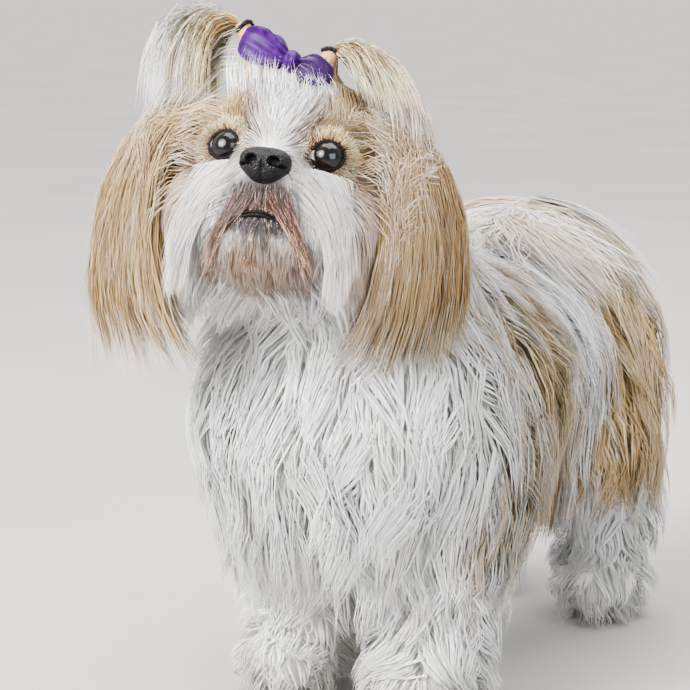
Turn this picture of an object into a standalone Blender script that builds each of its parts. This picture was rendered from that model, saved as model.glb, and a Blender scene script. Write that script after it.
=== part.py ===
"""A standing shih tzu in long coat, life size, head raised and turned to its left, hair tied up in two topknots.

Metres, +Z up. The dog faces -Y and its left side is +X. The paws stand on z = 0.
The flesh is one rounded field of balls and limbs, half way out in the coat. Each node is a piece of it,
and the locks of the coat are combed over it along the lie of the hair.
"""

import itertools
import math

import bmesh
import bpy
import numpy as np
from mathutils import Matrix, Vector

# Driving dimensions
BACK_TOP = 0.252
CHEST_HALF_WIDTH = 0.086
RUMP_HALF_WIDTH = 0.085
TRUNK_FRONT = -0.174
TRUNK_BACK = 0.187
FRONT_LEG_X = 0.043
FRONT_LEG_Y = -0.098
RIGHT_STEP_BACK = 0.026
HIND_LEG_X = 0.053
HIND_LEG_Y = 0.132
PAW_HEIGHT = 0.021
HEAD_CENTRE = (-0.008, -0.162, 0.307)
HEAD_YAW = 19.0
HEAD_PITCH = 19.0
HEAD_ROLL = 5.4
EYE_SPREAD = 0.0243
EYE_RADIUS = 0.0105
NODE_GAP = 0.0008
CUT_GROWTH = 0.0005
BLEND = 0.007
HEAD_LEVEL = 0.0
BODY_TRIANGLES = 1500
HEAD_TRIANGLES = 1250
SEED = 7

TRUNK_Z = BACK_TOP - 0.074
RUMP_RADIUS_Y = 0.062


def head_matrix():
    """Carries head-local points (x left, -y forward, z up) to the world."""
    turn = Matrix.Rotation(math.radians(HEAD_YAW), 4, "Z")
    lift = Matrix.Rotation(math.radians(-HEAD_PITCH), 4, "X")
    tilt = Matrix.Rotation(math.radians(HEAD_ROLL), 4, "Y")
    return Matrix.Translation(HEAD_CENTRE) @ turn @ lift @ tilt


HEAD = head_matrix()


def ball(centre, radii, head=False):
    """An ellipsoid form, in world or head-local metres."""
    return {"kind": "ball", "centre": centre, "radii": radii, "head": head}


def limb(start, end, start_radius, end_radius, head=False):
    """A tapered round rod form."""
    return {"kind": "limb", "start": start, "end": end, "r0": start_radius, "r1": end_radius, "head": head}


def both(form):
    """A form and its mirror image across the dog's middle."""
    twin = dict(form)
    for key in ("centre", "start", "end"):
        if key in form:
            x, y, z = form[key]
            twin[key] = (-x, y, z)
    return [form, twin]


def trunk_forms():
    forms = [
        ball((0, -0.045, TRUNK_Z), (CHEST_HALF_WIDTH, 0.100, 0.074)),
        ball((0, TRUNK_FRONT + 0.062, TRUNK_Z - 0.003), (CHEST_HALF_WIDTH, 0.062, 0.076)),
        ball((0, 0.050, TRUNK_Z + 0.002), (0.074, 0.100, 0.068)),
        ball((0, TRUNK_BACK - RUMP_RADIUS_Y, TRUNK_Z + 0.002), (RUMP_HALF_WIDTH, RUMP_RADIUS_Y, 0.072)),
    ]
    forms += both(ball((0.054, -0.085, 0.150), (0.036, 0.050, 0.064)))
    forms += both(ball((0.050, 0.112, 0.140), (0.038, 0.050, 0.058)))
    return forms


def front_leg_forms(side, step_back):
    """A front leg and its paw; a leg set back also turns its paw out a little."""
    x, y = FRONT_LEG_X, FRONT_LEG_Y + step_back
    paw_x, paw_y = x + 0.3 * step_back, y - 0.010 - 0.1 * step_back
    return [
        limb((side * 0.050, -0.088 + 0.3 * step_back, 0.140), (side * x, y, 0.045), 0.034, 0.030),
        ball((side * paw_x, paw_y, PAW_HEIGHT), (0.031, 0.038, 0.023)),
    ]


def leg_forms():
    forms = front_leg_forms(1, 0.0) + front_leg_forms(-1, RIGHT_STEP_BACK)
    hock = (HIND_LEG_X, HIND_LEG_Y + 0.012, 0.072)
    forms += both(limb((0.052, 0.105, 0.130), hock, 0.037, 0.026))
    forms += both(limb(hock, (HIND_LEG_X, HIND_LEG_Y + 0.004, 0.030), 0.026, 0.023))
    forms += both(ball((HIND_LEG_X, HIND_LEG_Y - 0.002, PAW_HEIGHT), (0.026, 0.034, 0.022)))
    return forms


def neck_forms():
    return [limb((0, -0.078, 0.205), (-0.002, -0.135, 0.285), 0.062, 0.054)]


def head_forms():
    forms = [
        ball((0, 0.004, 0.003), (0.050, 0.052, 0.042), head=True),
        ball((0, -0.038, -0.017), (0.030, 0.022, 0.019), head=True),
        ball((0, -0.032, -0.045), (0.031, 0.026, 0.022), head=True),
    ]
    forms += both(ball((0.030, -0.013, -0.030), (0.026, 0.032, 0.032), head=True))
    return forms


FLESH = trunk_forms() + leg_forms() + neck_forms() + head_forms()


def form_distance(form, points):
    """Signed distance from points (n, 3) to one form, close to true near its surface."""
    if form["head"]:
        inverse = np.array(HEAD.inverted())
        points = points @ inverse[:3, :3].T + inverse[:3, 3]
    if form["kind"] == "ball":
        radii = np.array(form["radii"])
        local = points - np.array(form["centre"])
        scaled = np.linalg.norm(local / radii, axis=1) + 1e-9
        slope = np.linalg.norm(local / radii**2, axis=1) + 1e-9
        return scaled * (scaled - 1) / slope
    start = np.array(form["start"])
    along = np.array(form["end"]) - start
    share = np.clip((points - start) @ along / (along @ along), 0, 1)
    radius = form["r0"] + (form["r1"] - form["r0"]) * share
    return np.linalg.norm(points - start - share[:, None] * along, axis=1) - radius


def field(points, forms=FLESH):
    """Signed distance to the rounded union of the forms: negative inside."""
    total = sum(np.exp(-np.clip(form_distance(f, points), -0.2, 0.5) / BLEND) for f in forms)
    return -BLEND * np.log(total + 1e-300)


def slope(points, forms=FLESH):
    """Unit outward normals of the field at points."""
    step = 0.0005
    shifts = np.eye(3) * step
    grad = np.stack([field(points + s, forms) - field(points - s, forms) for s in shifts], axis=1)
    return grad / (np.linalg.norm(grad, axis=1, keepdims=True) + 1e-12)


def clear_scene():
    for obj in list(bpy.data.objects):
        bpy.data.objects.remove(obj)


def new_object(name, mesh):
    obj = bpy.data.objects.new(name, mesh)
    bpy.context.scene.collection.objects.link(obj)
    return obj


def apply_modifiers(obj):
    """Turns what the modifiers make into the object's own mesh."""
    graph = bpy.context.evaluated_depsgraph_get()
    graph.update()
    made = bpy.data.meshes.new_from_object(obj.evaluated_get(graph))
    obj.modifiers.clear()
    obj.data = made
    return obj


def form_mesh(bm, form, level):
    """Adds a form's primitive, grown by the level, to a bmesh in world space."""
    place = HEAD if form["head"] else Matrix.Identity(4)
    if form["kind"] == "ball":
        spheres = [(Vector(form["centre"]), Vector(form["radii"]))]
    else:
        start, end = Vector(form["start"]), Vector(form["end"])
        count = max(2, int((end - start).length / 0.008))
        spheres = []
        for k in range(count + 1):
            radius = form["r0"] + (form["r1"] - form["r0"]) * k / count
            spheres.append((start.lerp(end, k / count), Vector((radius,) * 3)))
    for centre, radii in spheres:
        radii = radii + Vector((level,) * 3)
        matrix = place @ Matrix.Translation(centre) @ Matrix.Diagonal((*radii, 1))
        bmesh.ops.create_icosphere(bm, subdivisions=3, radius=1.0, matrix=matrix)


def flesh_object(name, forms, level, voxel, triangles):
    """One closed skin over the forms: remeshed, drawn onto the flesh field's level and thinned out."""
    bm = bmesh.new()
    for form in forms:
        form_mesh(bm, form, level)
    mesh = bpy.data.meshes.new(name)
    bm.to_mesh(mesh)
    bm.free()
    obj = new_object(name, mesh)
    remesh = obj.modifiers.new("skin", "REMESH")
    remesh.mode = "VOXEL"
    remesh.voxel_size = voxel
    apply_modifiers(obj)
    co = np.empty(len(obj.data.vertices) * 3)
    obj.data.vertices.foreach_get("co", co)
    points = co.reshape(-1, 3)
    for _ in range(6):
        points = points - slope(points) * (field(points) - level)[:, None] * 0.8
    obj.data.vertices.foreach_set("co", points.ravel())
    thin = obj.modifiers.new("thin", "DECIMATE")
    thin.ratio = min(1.0, triangles / max(1, 2 * len(obj.data.polygons)))
    return apply_modifiers(obj)


def head_point(x, y, z):
    """A head-local point in the world."""
    return np.array(HEAD @ Vector((x, y, z)))


def head_direction(x, y, z):
    return np.array(HEAD.to_3x3() @ Vector((x, y, z)))


def closed_copy(obj, name):
    twin = new_object(name, obj.data.copy())
    twin.matrix_world = obj.matrix_world
    return twin


def remove(obj):
    bpy.data.objects.remove(obj)


def boolean(obj, other, operation, solver="EXACT"):
    """Applies one Boolean of obj with another object, which is then removed."""
    modifier = obj.modifiers.new("cut", "BOOLEAN")
    modifier.operation = operation
    modifier.solver = solver
    modifier.object = other
    apply_modifiers(obj)
    remove(other)
    return obj


def box_object(low, high):
    """A closed box between two corners, as a cutter."""
    bm = bmesh.new()
    bmesh.ops.create_cube(bm, size=1.0)
    low, high = Vector(low), Vector(high)
    for v in bm.verts:
        v.co = (low + high) / 2 + Vector(a * b for a, b in zip(v.co, high - low))
    mesh = bpy.data.meshes.new("cutter")
    bm.to_mesh(mesh)
    bm.free()
    obj = new_object("cutter", mesh)
    obj.hide_render = True
    return obj


def cut_away(obj, point, normal, gap=NODE_GAP / 2):
    """Removes what lies past a plane, on the side that its normal points to, and half a gap more."""
    cutter = box_object((-0.6, -0.6, -gap), (0.6, 0.6, 1.2))
    turn = Vector(normal).to_track_quat("Z", "Y").to_matrix().to_4x4()
    cutter.data.transform(Matrix.Translation(point) @ turn)
    return boolean(obj, cutter, "DIFFERENCE")


def grown(obj, amount):
    """A copy of obj swollen along its normals, to cut its neighbours clear of it."""
    twin = closed_copy(obj, "grown_" + obj.name)
    mesh = twin.data
    shifts = [v.normal * amount for v in mesh.vertices]
    for v, shift in zip(mesh.vertices, shifts):
        v.co += shift
    twin.hide_render = True
    return twin


def bounds(obj):
    co = np.empty(len(obj.data.vertices) * 3)
    obj.data.vertices.foreach_get("co", co)
    co = co.reshape(-1, 3)
    return co.min(0), co.max(0)


def near(a, b, margin=0.002):
    low_a, high_a = bounds(a)
    low_b, high_b = bounds(b)
    return bool((low_a < high_b + margin).all() and (low_b < high_a + margin).all())


WELD = 0.000003


def is_closed(bm):
    return all(e.is_manifold and e.is_contiguous for e in bm.edges) and all(v.is_manifold for v in bm.verts)


def part_edges(bm):
    """Where two pairs of triangles share one edge, gives the flatter pair a middle point of its own."""
    for edge in [e for e in bm.edges if len(e.link_faces) == 4]:
        pairs = [(a.face, b.face) for a, b in itertools.combinations(edge.link_loops, 2) if a.vert is not b.vert]
        pair = min(pairs, key=lambda two: (two[0].normal - two[1].normal).length)
        ends = list(edge.verts)
        middle = bm.verts.new((ends[0].co + ends[1].co) / 2)
        for face in pair:
            corners = list(face.verts)
            bm.faces.remove(face)
            for end in ends:
                bm.faces.new([middle if v is end else v for v in corners])


def mend(bm):
    """Welds points closer than a hair and drops the flaps that this folds up."""
    bmesh.ops.remove_doubles(bm, verts=bm.verts, dist=WELD)
    flaps = [f for f in bm.faces if any(e.is_boundary for e in f.edges)]
    bmesh.ops.delete(bm, geom=flaps, context="FACES")
    part_edges(bm)


def largest_shell(obj):
    """Keeps the largest closed surface of obj in triangles, which drops loose scraps and sealed hollows."""
    bm = bmesh.new()
    bm.from_mesh(obj.data)
    bmesh.ops.triangulate(bm, faces=bm.faces)
    mend(bm)
    keep_largest(bm)
    bm.to_mesh(obj.data)
    bm.free()
    return obj


def keep_largest(bm):
    """Deletes all but the closed surface that holds the most volume."""
    left = set(bm.faces)
    best, best_volume = set(), -1.0
    while left:
        stack = [left.pop()]
        shell = set(stack)
        while stack:
            for edge in stack.pop().edges:
                fresh = left.intersection(edge.link_faces)
                left -= fresh
                shell |= fresh
                stack += fresh
        volume = sum(f.verts[0].co.dot(f.verts[1].co.cross(f.verts[2].co)) for f in shell) / 6
        if volume > best_volume:
            best, best_volume = shell, volume
    bmesh.ops.delete(bm, geom=[f for f in bm.faces if f not in best], context="FACES")


THIN_RATIOS = (0.62, 0.68, 0.76, 0.86, 0.95)


def thin(obj):
    """Thins the triangles of a node with fused locks, as far as its surface stays closed."""
    for ratio in THIN_RATIOS:
        whole = obj.data.copy()
        modifier = obj.modifiers.new("thin", "DECIMATE")
        modifier.ratio = ratio
        apply_modifiers(obj)
        bm = bmesh.new()
        bm.from_mesh(obj.data)
        closed = is_closed(bm)
        bm.free()
        if closed:
            break
        obj.data = whole
    return obj


def join_pieces(core, pieces):
    """Fuses closed pieces into the core with one Boolean union on a collection."""
    if not pieces:
        return core
    group = bpy.data.collections.new("pieces")
    bpy.context.scene.collection.children.link(group)
    for piece in pieces:
        bpy.context.scene.collection.objects.unlink(piece)
        group.objects.link(piece)
    modifier = core.modifiers.new("fuse", "BOOLEAN")
    modifier.operation = "UNION"
    modifier.solver = "MANIFOLD"
    modifier.operand_type = "COLLECTION"
    modifier.collection = group
    apply_modifiers(core)
    for piece in pieces:
        remove(piece)
    bpy.data.collections.remove(group)
    return core


def mesh_object(name, points, faces):
    """A closed mesh object from points and faces, with its faces turned outwards."""
    bm = bmesh.new()
    verts = [bm.verts.new(p) for p in points]
    for face in faces:
        bm.faces.new([verts[k] for k in face])
    bmesh.ops.recalc_face_normals(bm, faces=bm.faces)
    mesh = bpy.data.meshes.new(name)
    bm.to_mesh(mesh)
    bm.free()
    return new_object(name, mesh)


def prism(outline, y_low, y_high, place):
    """A closed prism: an (x, z) outline drawn from y_low to y_high, placed by a matrix."""
    count = len(outline)
    points = [place @ Vector((x, y, z)) for y in (y_low, y_high) for x, z in outline]
    faces = [list(range(count)), list(range(count, 2 * count))]
    faces += [[k, (k + 1) % count, count + (k + 1) % count, count + k] for k in range(count)]
    return mesh_object("prism", points, faces)


def swept_tube(name, rings):
    """A closed tube through rings of equal point counts, with flat ends."""
    count = len(rings[0])
    points = [p for ring in rings for p in ring]
    faces = [list(range(count)), list(range(len(points) - count, len(points)))]
    for k in range(len(rings) - 1):
        for m in range(count):
            n = (m + 1) % count
            faces.append([k * count + m, k * count + n, (k + 1) * count + n, (k + 1) * count + m])
    return mesh_object(name, points, faces)


def unit(v):
    return v / (np.linalg.norm(v, axis=-1, keepdims=True) + 1e-12)


def round_rings(path, radii, sides):
    """Rings of points around a path, square to it."""
    path = np.array(path, float)
    tangents = unit(np.gradient(path, axis=0))
    across = unit(np.cross(tangents, (0.31, 0.17, 0.93)))
    other = np.cross(tangents, across)
    turns = np.arange(sides) * 2 * math.pi / sides
    rings = []
    for centre, a, b, radius in zip(path, across, other, radii):
        rings.append([centre + radius * (math.cos(t) * a + math.sin(t) * b) for t in turns])
    return rings


def surface_hits(origins, directions, reach=0.3):
    """Where rays leave the flesh for good, found by walking in along them from reach."""
    origins = np.atleast_2d(origins) * np.ones((len(directions), 1))
    reach = np.full(len(directions), reach)
    for _ in range(60):
        reach -= 0.8 * field(origins + directions * reach[:, None])
    return origins + directions * reach[:, None]


NECK_TOP = ((0, -0.118, 0.262), (0, -0.58, 0.81))
NECK_BASE = ((0, -0.090, 0.240), (0, -0.35, 0.94))
CHEST_BACK_Y = -0.055
RUMP_FRONT_Y = 0.065
LEG_INNER_X = NODE_GAP / 2
FRONT_LEG_BOX = ((LEG_INNER_X, -0.200, -0.05), (0.130, -0.030, 0.108))
HIND_LEG_BOX = ((LEG_INNER_X, 0.030, -0.05), (0.130, 0.220, 0.112))


def flipped(plane):
    point, normal = plane
    return point, tuple(-c for c in normal)


def mirrored_box(box):
    (x0, y0, z0), (x1, y1, z1) = box
    return (-x1, y0, z0), (-x0, y1, z1)


def grown_box(box, grow):
    (x0, y0, z0), (x1, y1, z1) = box
    return (x0 - grow, y0 - grow, z0 - grow), (x1 + grow, y1 + grow, z1 + grow)


def body_cores(flesh):
    """Parts the flesh below the head into neck, chest, torso, rump and the four legs."""
    floor = ((0, 0, 0), (0, 0, -1))
    cut_away(flesh, *floor, gap=0)
    cores = {}
    neck = closed_copy(flesh, "neck")
    cut_away(neck, *NECK_TOP)
    cores["neck"] = cut_away(neck, *flipped(NECK_BASE))
    trunk = closed_copy(flesh, "trunk")
    cut_away(trunk, *NECK_BASE)
    for name, box in (("leg_front", FRONT_LEG_BOX), ("leg_hind", HIND_LEG_BOX)):
        for side, low_high in (("left", box), ("right", mirrored_box(box))):
            leg = closed_copy(flesh, f"{name}_{side}")
            cores[leg.name] = boolean(leg, box_object(*low_high), "INTERSECT")
            boolean(trunk, box_object(*grown_box(low_high, NODE_GAP)), "DIFFERENCE")
    chest = closed_copy(trunk, "chest")
    cores["chest"] = cut_away(chest, (0, CHEST_BACK_Y, 0), (0, 1, 0))
    torso = closed_copy(trunk, "torso")
    cut_away(torso, (0, CHEST_BACK_Y, 0), (0, -1, 0))
    cores["torso"] = cut_away(torso, (0, RUMP_FRONT_Y, 0), (0, 1, 0))
    trunk.name = "rump"
    cores["rump"] = cut_away(trunk, (0, RUMP_FRONT_Y, 0), (0, -1, 0))
    remove(flesh)
    return cores


MOUTH_LINE = ((-0.060, -0.072), (-0.032, -0.053), (-0.022, -0.0455), (-0.013, -0.0380), (-0.006, -0.0340),
              (0, -0.0345), (0.006, -0.0340), (0.013, -0.0380), (0.022, -0.0455), (0.032, -0.053), (0.060, -0.072))
JAW_BACK_Y = -0.026
MUZZLE_OUTLINE = ((-0.011, -0.003), (0.011, -0.003), (0.030, -0.020), (0.034, -0.12), (-0.034, -0.12), (-0.030, -0.020))
EYE_CENTRE = (EYE_SPREAD, -0.0318, 0.0010)
EYE_AXIS = (0.25, -0.96, 0.06)
LID_FORWARD = 0.0075
LID_RING = 0.0094
BOWL_FORWARD = 0.0175
BOWL_RADIUS = 0.0120


def eye_centre(side):
    return np.array((side * EYE_CENTRE[0], EYE_CENTRE[1], EYE_CENTRE[2]))


def eye_axis(side):
    return unit(np.array((side * EYE_AXIS[0], EYE_AXIS[1], EYE_AXIS[2])))


def uv_ball(name, place, radii, segments=14, rings=8):
    bm = bmesh.new()
    matrix = place @ Matrix.Diagonal((*radii, 1))
    bmesh.ops.create_uvsphere(bm, u_segments=segments, v_segments=rings, radius=1.0, matrix=matrix)
    mesh = bpy.data.meshes.new(name)
    bm.to_mesh(mesh)
    bm.free()
    return new_object(name, mesh)


def ring_tube(name, rings):
    """A closed tube whose last ring joins its first."""
    count, sides = len(rings), len(rings[0])
    points = [tuple(p) for ring in rings for p in ring]
    faces = []
    for k in range(count):
        n = (k + 1) % count
        for m in range(sides):
            o = (m + 1) % sides
            faces.append([k * sides + m, k * sides + o, n * sides + o, n * sides + m])
    return mesh_object(name, points, faces)


def eyelids(side):
    """A rounded rim round the eye's opening, thicker above."""
    centre, axis = eye_centre(side), eye_axis(side)
    across = unit(np.cross(axis, (0, 0, 1)))
    up = np.cross(across, axis)
    rings = []
    for angle in np.arange(14) * math.pi / 7:
        lid = 0.0018 + 0.0008 * max(math.sin(angle), 0)
        radial = across * math.cos(angle) + up * math.sin(angle)
        middle = centre + axis * LID_FORWARD + radial * LID_RING
        rings.append([HEAD @ Vector(middle + lid * (math.cos(a) * radial + math.sin(a) * axis))
                      for a in np.arange(5) * 2 * math.pi / 5])
    return ring_tube("lids", rings)


def lip(offset, radius):
    """A soft rim along the mouth line, lying on the muzzle or the jaw."""
    shown = np.array([(x, z) for x, z in MOUTH_LINE if abs(x) < 0.04])
    places = np.array([head_point(x, -0.030, z + offset) for x, z in shown])
    forward = head_direction(0, -1, 0)
    path = surface_hits(places, np.tile(forward, (len(places), 1))) - forward * radius * 0.4
    radii = np.full(len(path), radius)
    radii[0] = radii[-1] = radius * 0.5
    return swept_tube("lip", round_rings(path, radii, 6))


def head_cores():
    """The head with its eye sockets and lids, the muzzle and the lower jaw, parted along the mouth."""
    flesh = flesh_object("head", neck_forms() + head_forms(), HEAD_LEVEL, 0.004, HEAD_TRIANGLES)
    cut_away(flesh, *flipped(NECK_TOP))
    for side in (1, -1):
        bowl = HEAD @ Matrix.Translation(eye_centre(side) + eye_axis(side) * BOWL_FORWARD)
        boolean(flesh, uv_ball("bowl", bowl, (BOWL_RADIUS,) * 3), "DIFFERENCE")
    below = [(0.060, -0.14), (-0.060, -0.14)]
    jaw = closed_copy(flesh, "lower_jaw")
    boolean(jaw, prism(list(MOUTH_LINE) + below, -0.12, JAW_BACK_Y, HEAD), "INTERSECT")
    line = [(x * 1.02, z + 2 * NODE_GAP) for x, z in MOUTH_LINE]
    boolean(flesh, prism(line + below, -0.12, JAW_BACK_Y + NODE_GAP, HEAD), "DIFFERENCE")
    muzzle = closed_copy(flesh, "muzzle")
    boolean(muzzle, prism(MUZZLE_OUTLINE, -0.12, JAW_BACK_Y, HEAD), "INTERSECT")
    wider = [(x + math.copysign(NODE_GAP, x), z + NODE_GAP) for x, z in MUZZLE_OUTLINE]
    boolean(flesh, prism(wider, -0.12, JAW_BACK_Y + NODE_GAP, HEAD), "DIFFERENCE")
    join_pieces(muzzle, [lip(0.0030, 0.0016)])
    join_pieces(jaw, [lip(-0.0012, 0.0014)])
    join_pieces(flesh, [eyelids(1), eyelids(-1)])
    cores = {"lower_jaw": jaw, "muzzle": muzzle, "head": flesh}
    for side, name in ((1, "eye_left"), (-1, "eye_right")):
        place = HEAD @ Matrix.Translation(eye_centre(side))
        socket = uv_ball("socket", place, (EYE_RADIUS + 0.0005,) * 3)
        boolean(flesh, socket, "DIFFERENCE", "MANIFOLD")
        cores[name] = uv_ball(name, place, (EYE_RADIUS,) * 3)
    return cores


NOSE_CENTRE = (0, -0.0580, -0.0098)
NOSE_RADII = (0.0130, 0.0085, 0.0092)


def nose_core():
    """The nose leather: broad above, narrow below, with two nostrils and a groove between them."""
    place = HEAD @ Matrix.Translation(NOSE_CENTRE)
    nose = uv_ball("nose", Matrix.Identity(4), NOSE_RADII, 14, 9)
    for v in nose.data.vertices:
        x, y, z = v.co
        squeeze = 1.0 - 0.32 * max(-z / NOSE_RADII[2], 0)
        v.co = (x * squeeze, y, z * (0.80 if z > 0 else 1.0))
    nose.data.transform(place)
    front = NOSE_CENTRE[1] - NOSE_RADII[1]
    for side in (1, -1):
        hole = HEAD @ Matrix.Translation((side * 0.0048, front + 0.0012, NOSE_CENTRE[2] - 0.0012))
        hole = hole @ Matrix.Rotation(side * 0.5, 4, "Y")
        boolean(nose, uv_ball("nostril", hole, (0.0020, 0.0040, 0.0029), 8, 5), "DIFFERENCE")
    groove = [(-0.0006, -0.012), (0.0006, -0.012), (0.0006, 0.002), (-0.0006, 0.002)]
    groove = [(x, z + NOSE_CENTRE[2]) for x, z in groove]
    return boolean(nose, prism(groove, front - 0.01, front + 0.0009, HEAD), "DIFFERENCE")


def level_matrix():
    """Carries points of the head's level frame, turned but not tipped, to the world."""
    return Matrix.Translation(HEAD_CENTRE) @ Matrix.Rotation(math.radians(HEAD_YAW), 4, "Z")


LEVEL = level_matrix()
EAR_PUFF = {1: 0.90, -1: 1.07}
EAR_FRONT = ((0.046, -0.020, 0.020), (0.060, -0.034, 0.000), (0.064, -0.044, -0.052), (0.035, -0.046, -0.088))
EAR_SIDE = ((0.044, 0.004, 0.032), (0.091, 0.004, 0.031), (0.1025, 0.000, -0.035), (0.091, -0.004, -0.088))
EAR_BACK = ((0.038, 0.028, 0.020), (0.062, 0.046, 0.010), (0.080, 0.052, -0.040), (0.068, 0.044, -0.088))


def three_point(a, b, c, share):
    """The smooth curve through a, b and c at shares 0, 0.5 and 1."""
    return a * (1 - share) * (1 - 2 * share) + b * 4 * share * (1 - share) + c * share * (2 * share - 1)


def ear_strand(side, along, fall):
    """A point of the ear's hair: along runs from its front edge to its back, fall from root to hem."""
    width = np.array((side * EAR_PUFF[side], 1, 1))
    handles = []
    for k in range(4):
        place = HEAD if k < 2 else LEVEL
        rows = [place @ Vector(np.array(row[k]) * width) for row in (EAR_FRONT, EAR_SIDE, EAR_BACK)]
        handles.append(three_point(*(np.array(p) for p in rows), along))
    a, b, c, d = handles
    back = 1 - fall
    return a * back**3 + 3 * b * back**2 * fall + 3 * c * back * fall**2 + d * fall**3


def ear_frame(side, along, fall):
    """The point and the outward normal of the ear's hair sheet."""
    step = 0.02
    here = ear_strand(side, along, fall)
    a = ear_strand(side, along + step, fall) - here
    b = ear_strand(side, along, fall + step) - here
    return here, unit(np.cross(b, a)) * side


def ear_core(side, name, outer, hem):
    """The ear leather with the hair close to it: a bent plate, cupped towards the head."""
    across, down = 7, 5
    sheets = []
    for inner in (False, True):
        for i in range(across):
            for j in range(down):
                along, fall = i / (across - 1), 0.0 + hem * j / (down - 1)
                point, normal = ear_frame(side, along, fall)
                edge = math.sin(math.pi * min(max(along, 0.06), 0.94))
                depth = outer + (0.005 + 0.009 * edge * math.sin(math.pi * min(fall + 0.15, 0.9))) * inner
                sheets.append(point - normal * depth)
    count = across * down
    faces = []
    for i in range(across - 1):
        for j in range(down - 1):
            a, b = i * down + j, (i + 1) * down + j
            faces.append([a, b, b + 1, a + 1])
            faces.append([count + k for k in (a, a + 1, b + 1, b)])
    rim = [j for j in range(down)] + [i * down + down - 1 for i in range(1, across)]
    rim += [(across - 1) * down + j for j in range(down - 2, -1, -1)] + [i * down for i in range(across - 2, 0, -1)]
    for k, a in enumerate(rim):
        b = rim[(k + 1) % len(rim)]
        faces.append([a, b, count + b, count + a])
    return mesh_object(name, sheets, faces)


CROWN = {1: (0.006, 0.002, 0.034), -1: (-0.013, -0.002, 0.034)}
BAND = {1: (0.0135, -0.004, 0.0655), -1: (-0.0353, -0.004, 0.0740)}
PLUME_MIDDLE = {1: ((0.030, 0, 0.064), (0.037, 0, 0.072)), -1: ((-0.050, 0, 0.070), (-0.070, 0, 0.079))}
PLUME_TIP = {1: ((0.042, 0, 0.040), (0.056, 0, 0.042)), -1: ((-0.052, 0, 0.033), (-0.075, 0, 0.040))}
PLUME_DEPTH = 0.012


def plume_strand(side, spread, depth, fall):
    """A point of a topknot's plume: spread runs inner to outer, depth front to back, fall band to tip."""
    band = np.array(BAND[side])
    middle = np.array(PLUME_MIDDLE[side][0]) * (1 - spread) + np.array(PLUME_MIDDLE[side][1]) * spread
    tip = np.array(PLUME_TIP[side][0]) * (1 - spread) + np.array(PLUME_TIP[side][1]) * spread
    shift = np.array((0, depth * PLUME_DEPTH, 0))
    point = three_point(band, middle + shift, tip + 1.4 * shift, fall)
    return np.array(HEAD @ Vector(point))


def topknot_core(side, name, hem, radius):
    """The gathered hair from the crown up through the band, and the heart of the plume past it."""
    crown, band = np.array(CROWN[side]), np.array(BAND[side])
    path, radii = [], []
    for share, wide in ((0, 0.017), (0.4, 0.013), (0.75, 0.0075), (0.93, 0.0046), (1.0, 0.0044)):
        path.append(np.array(HEAD @ Vector(crown + (band - crown) * share)))
        radii.append(wide)
    for k in range(1, 5):
        share = hem * k / 4
        path.append(plume_strand(side, 0.5, 0, share))
        radii.append(0.0046 + (radius - 0.0046) * math.sin(math.pi * min(k / 4 * 0.75, 1)))
    radii[-1] = radius * 0.45
    return swept_tube(name, round_rings(path, radii, 7))


def band_core(side, name):
    """The elastic round the foot of a plume."""
    crown, band = np.array(CROWN[side]), np.array(BAND[side])
    axis = unit(band - crown)
    turn = Vector(axis).to_track_quat("Z", "Y").to_matrix().to_4x4()
    place = HEAD @ Matrix.Translation(crown + (band - crown) * 0.96) @ turn
    turns, sides = 12, 5
    rings = []
    for k in range(turns):
        angle = 2 * math.pi * k / turns
        ring = []
        for m in range(sides):
            a = 2 * math.pi * m / sides
            r = 0.0065 + 0.0014 * math.cos(a)
            ring.append(place @ Vector((r * math.cos(angle), r * math.sin(angle), 0.0019 * math.sin(a))))
        rings.append(ring)
    return ring_tube(name, rings)


BOW_KNOT = (-0.0020, -0.024, 0.0510)
BOW_END = {1: (0.0190, -0.022, 0.0450), -1: (-0.0330, -0.018, 0.0650)}
BOW_RIBBON = 0.013
BOW_DEPTH = 0.0045


def bow_loop(side, name):
    """One loop of the ribbon bow: a flat band bent out from the knot and back."""
    knot, end = np.array(BOW_KNOT), np.array(BOW_END[side])
    axis = unit(end - knot)
    front = unit(np.array((0, -1, 0.25)) - axis * (axis @ np.array((0, -1, 0.25))))
    wide = np.cross(axis, front)
    length = np.linalg.norm(end - knot)
    turns = 10
    rings = []
    for k in range(turns):
        angle = 2 * math.pi * k / turns
        share = 0.5 - 0.5 * math.cos(angle)
        open_ = BOW_DEPTH * math.sin(angle) * (0.35 + 0.65 * share)
        middle = knot + axis * (0.003 + (length - 0.003) * share) + front * open_
        normal = unit(-axis * math.cos(angle) * 0.5 + front * math.sin(angle))
        half = BOW_RIBBON / 2 * (0.45 + 0.55 * math.sin(math.pi * min(0.15 + 0.75 * share, 1)))
        ring = [middle + wide * half + normal * 0.0005, middle + wide * half - normal * 0.0005,
                middle - wide * half - normal * 0.0005, middle - wide * half + normal * 0.0005]
        rings.append([tuple(HEAD @ Vector(p)) for p in ring])
    return ring_tube(name, rings)


def bow_knot():
    place = HEAD @ Matrix.Translation(BOW_KNOT)
    return uv_ball("bow_knot", place, (0.0048, 0.0075, 0.0060), 10, 6)


TAIL_PATH = ((0, 0.158, 0.222), (0, 0.186, 0.244), (0, 0.166, 0.260), (0.004, 0.118, 0.266), (0.010, 0.062, 0.262))
TAIL_RADIUS = 0.014


def tail_point(share):
    """A point on the tail's curve over the back, from root to tip."""
    path = [np.array(p) for p in TAIL_PATH]
    place = min(max(share, 0), 1) * (len(path) - 1)
    k = min(int(place), len(path) - 2)
    t = place - k
    before, after = path[max(k - 1, 0)], path[min(k + 2, len(path) - 1)]
    a, b = path[k], path[k + 1]
    return 0.5 * (2 * a + (b - before) * t + (2 * before - 5 * a + 4 * b - after) * t**2
                  + (3 * a - before - 3 * b + after) * t**3)


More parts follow.
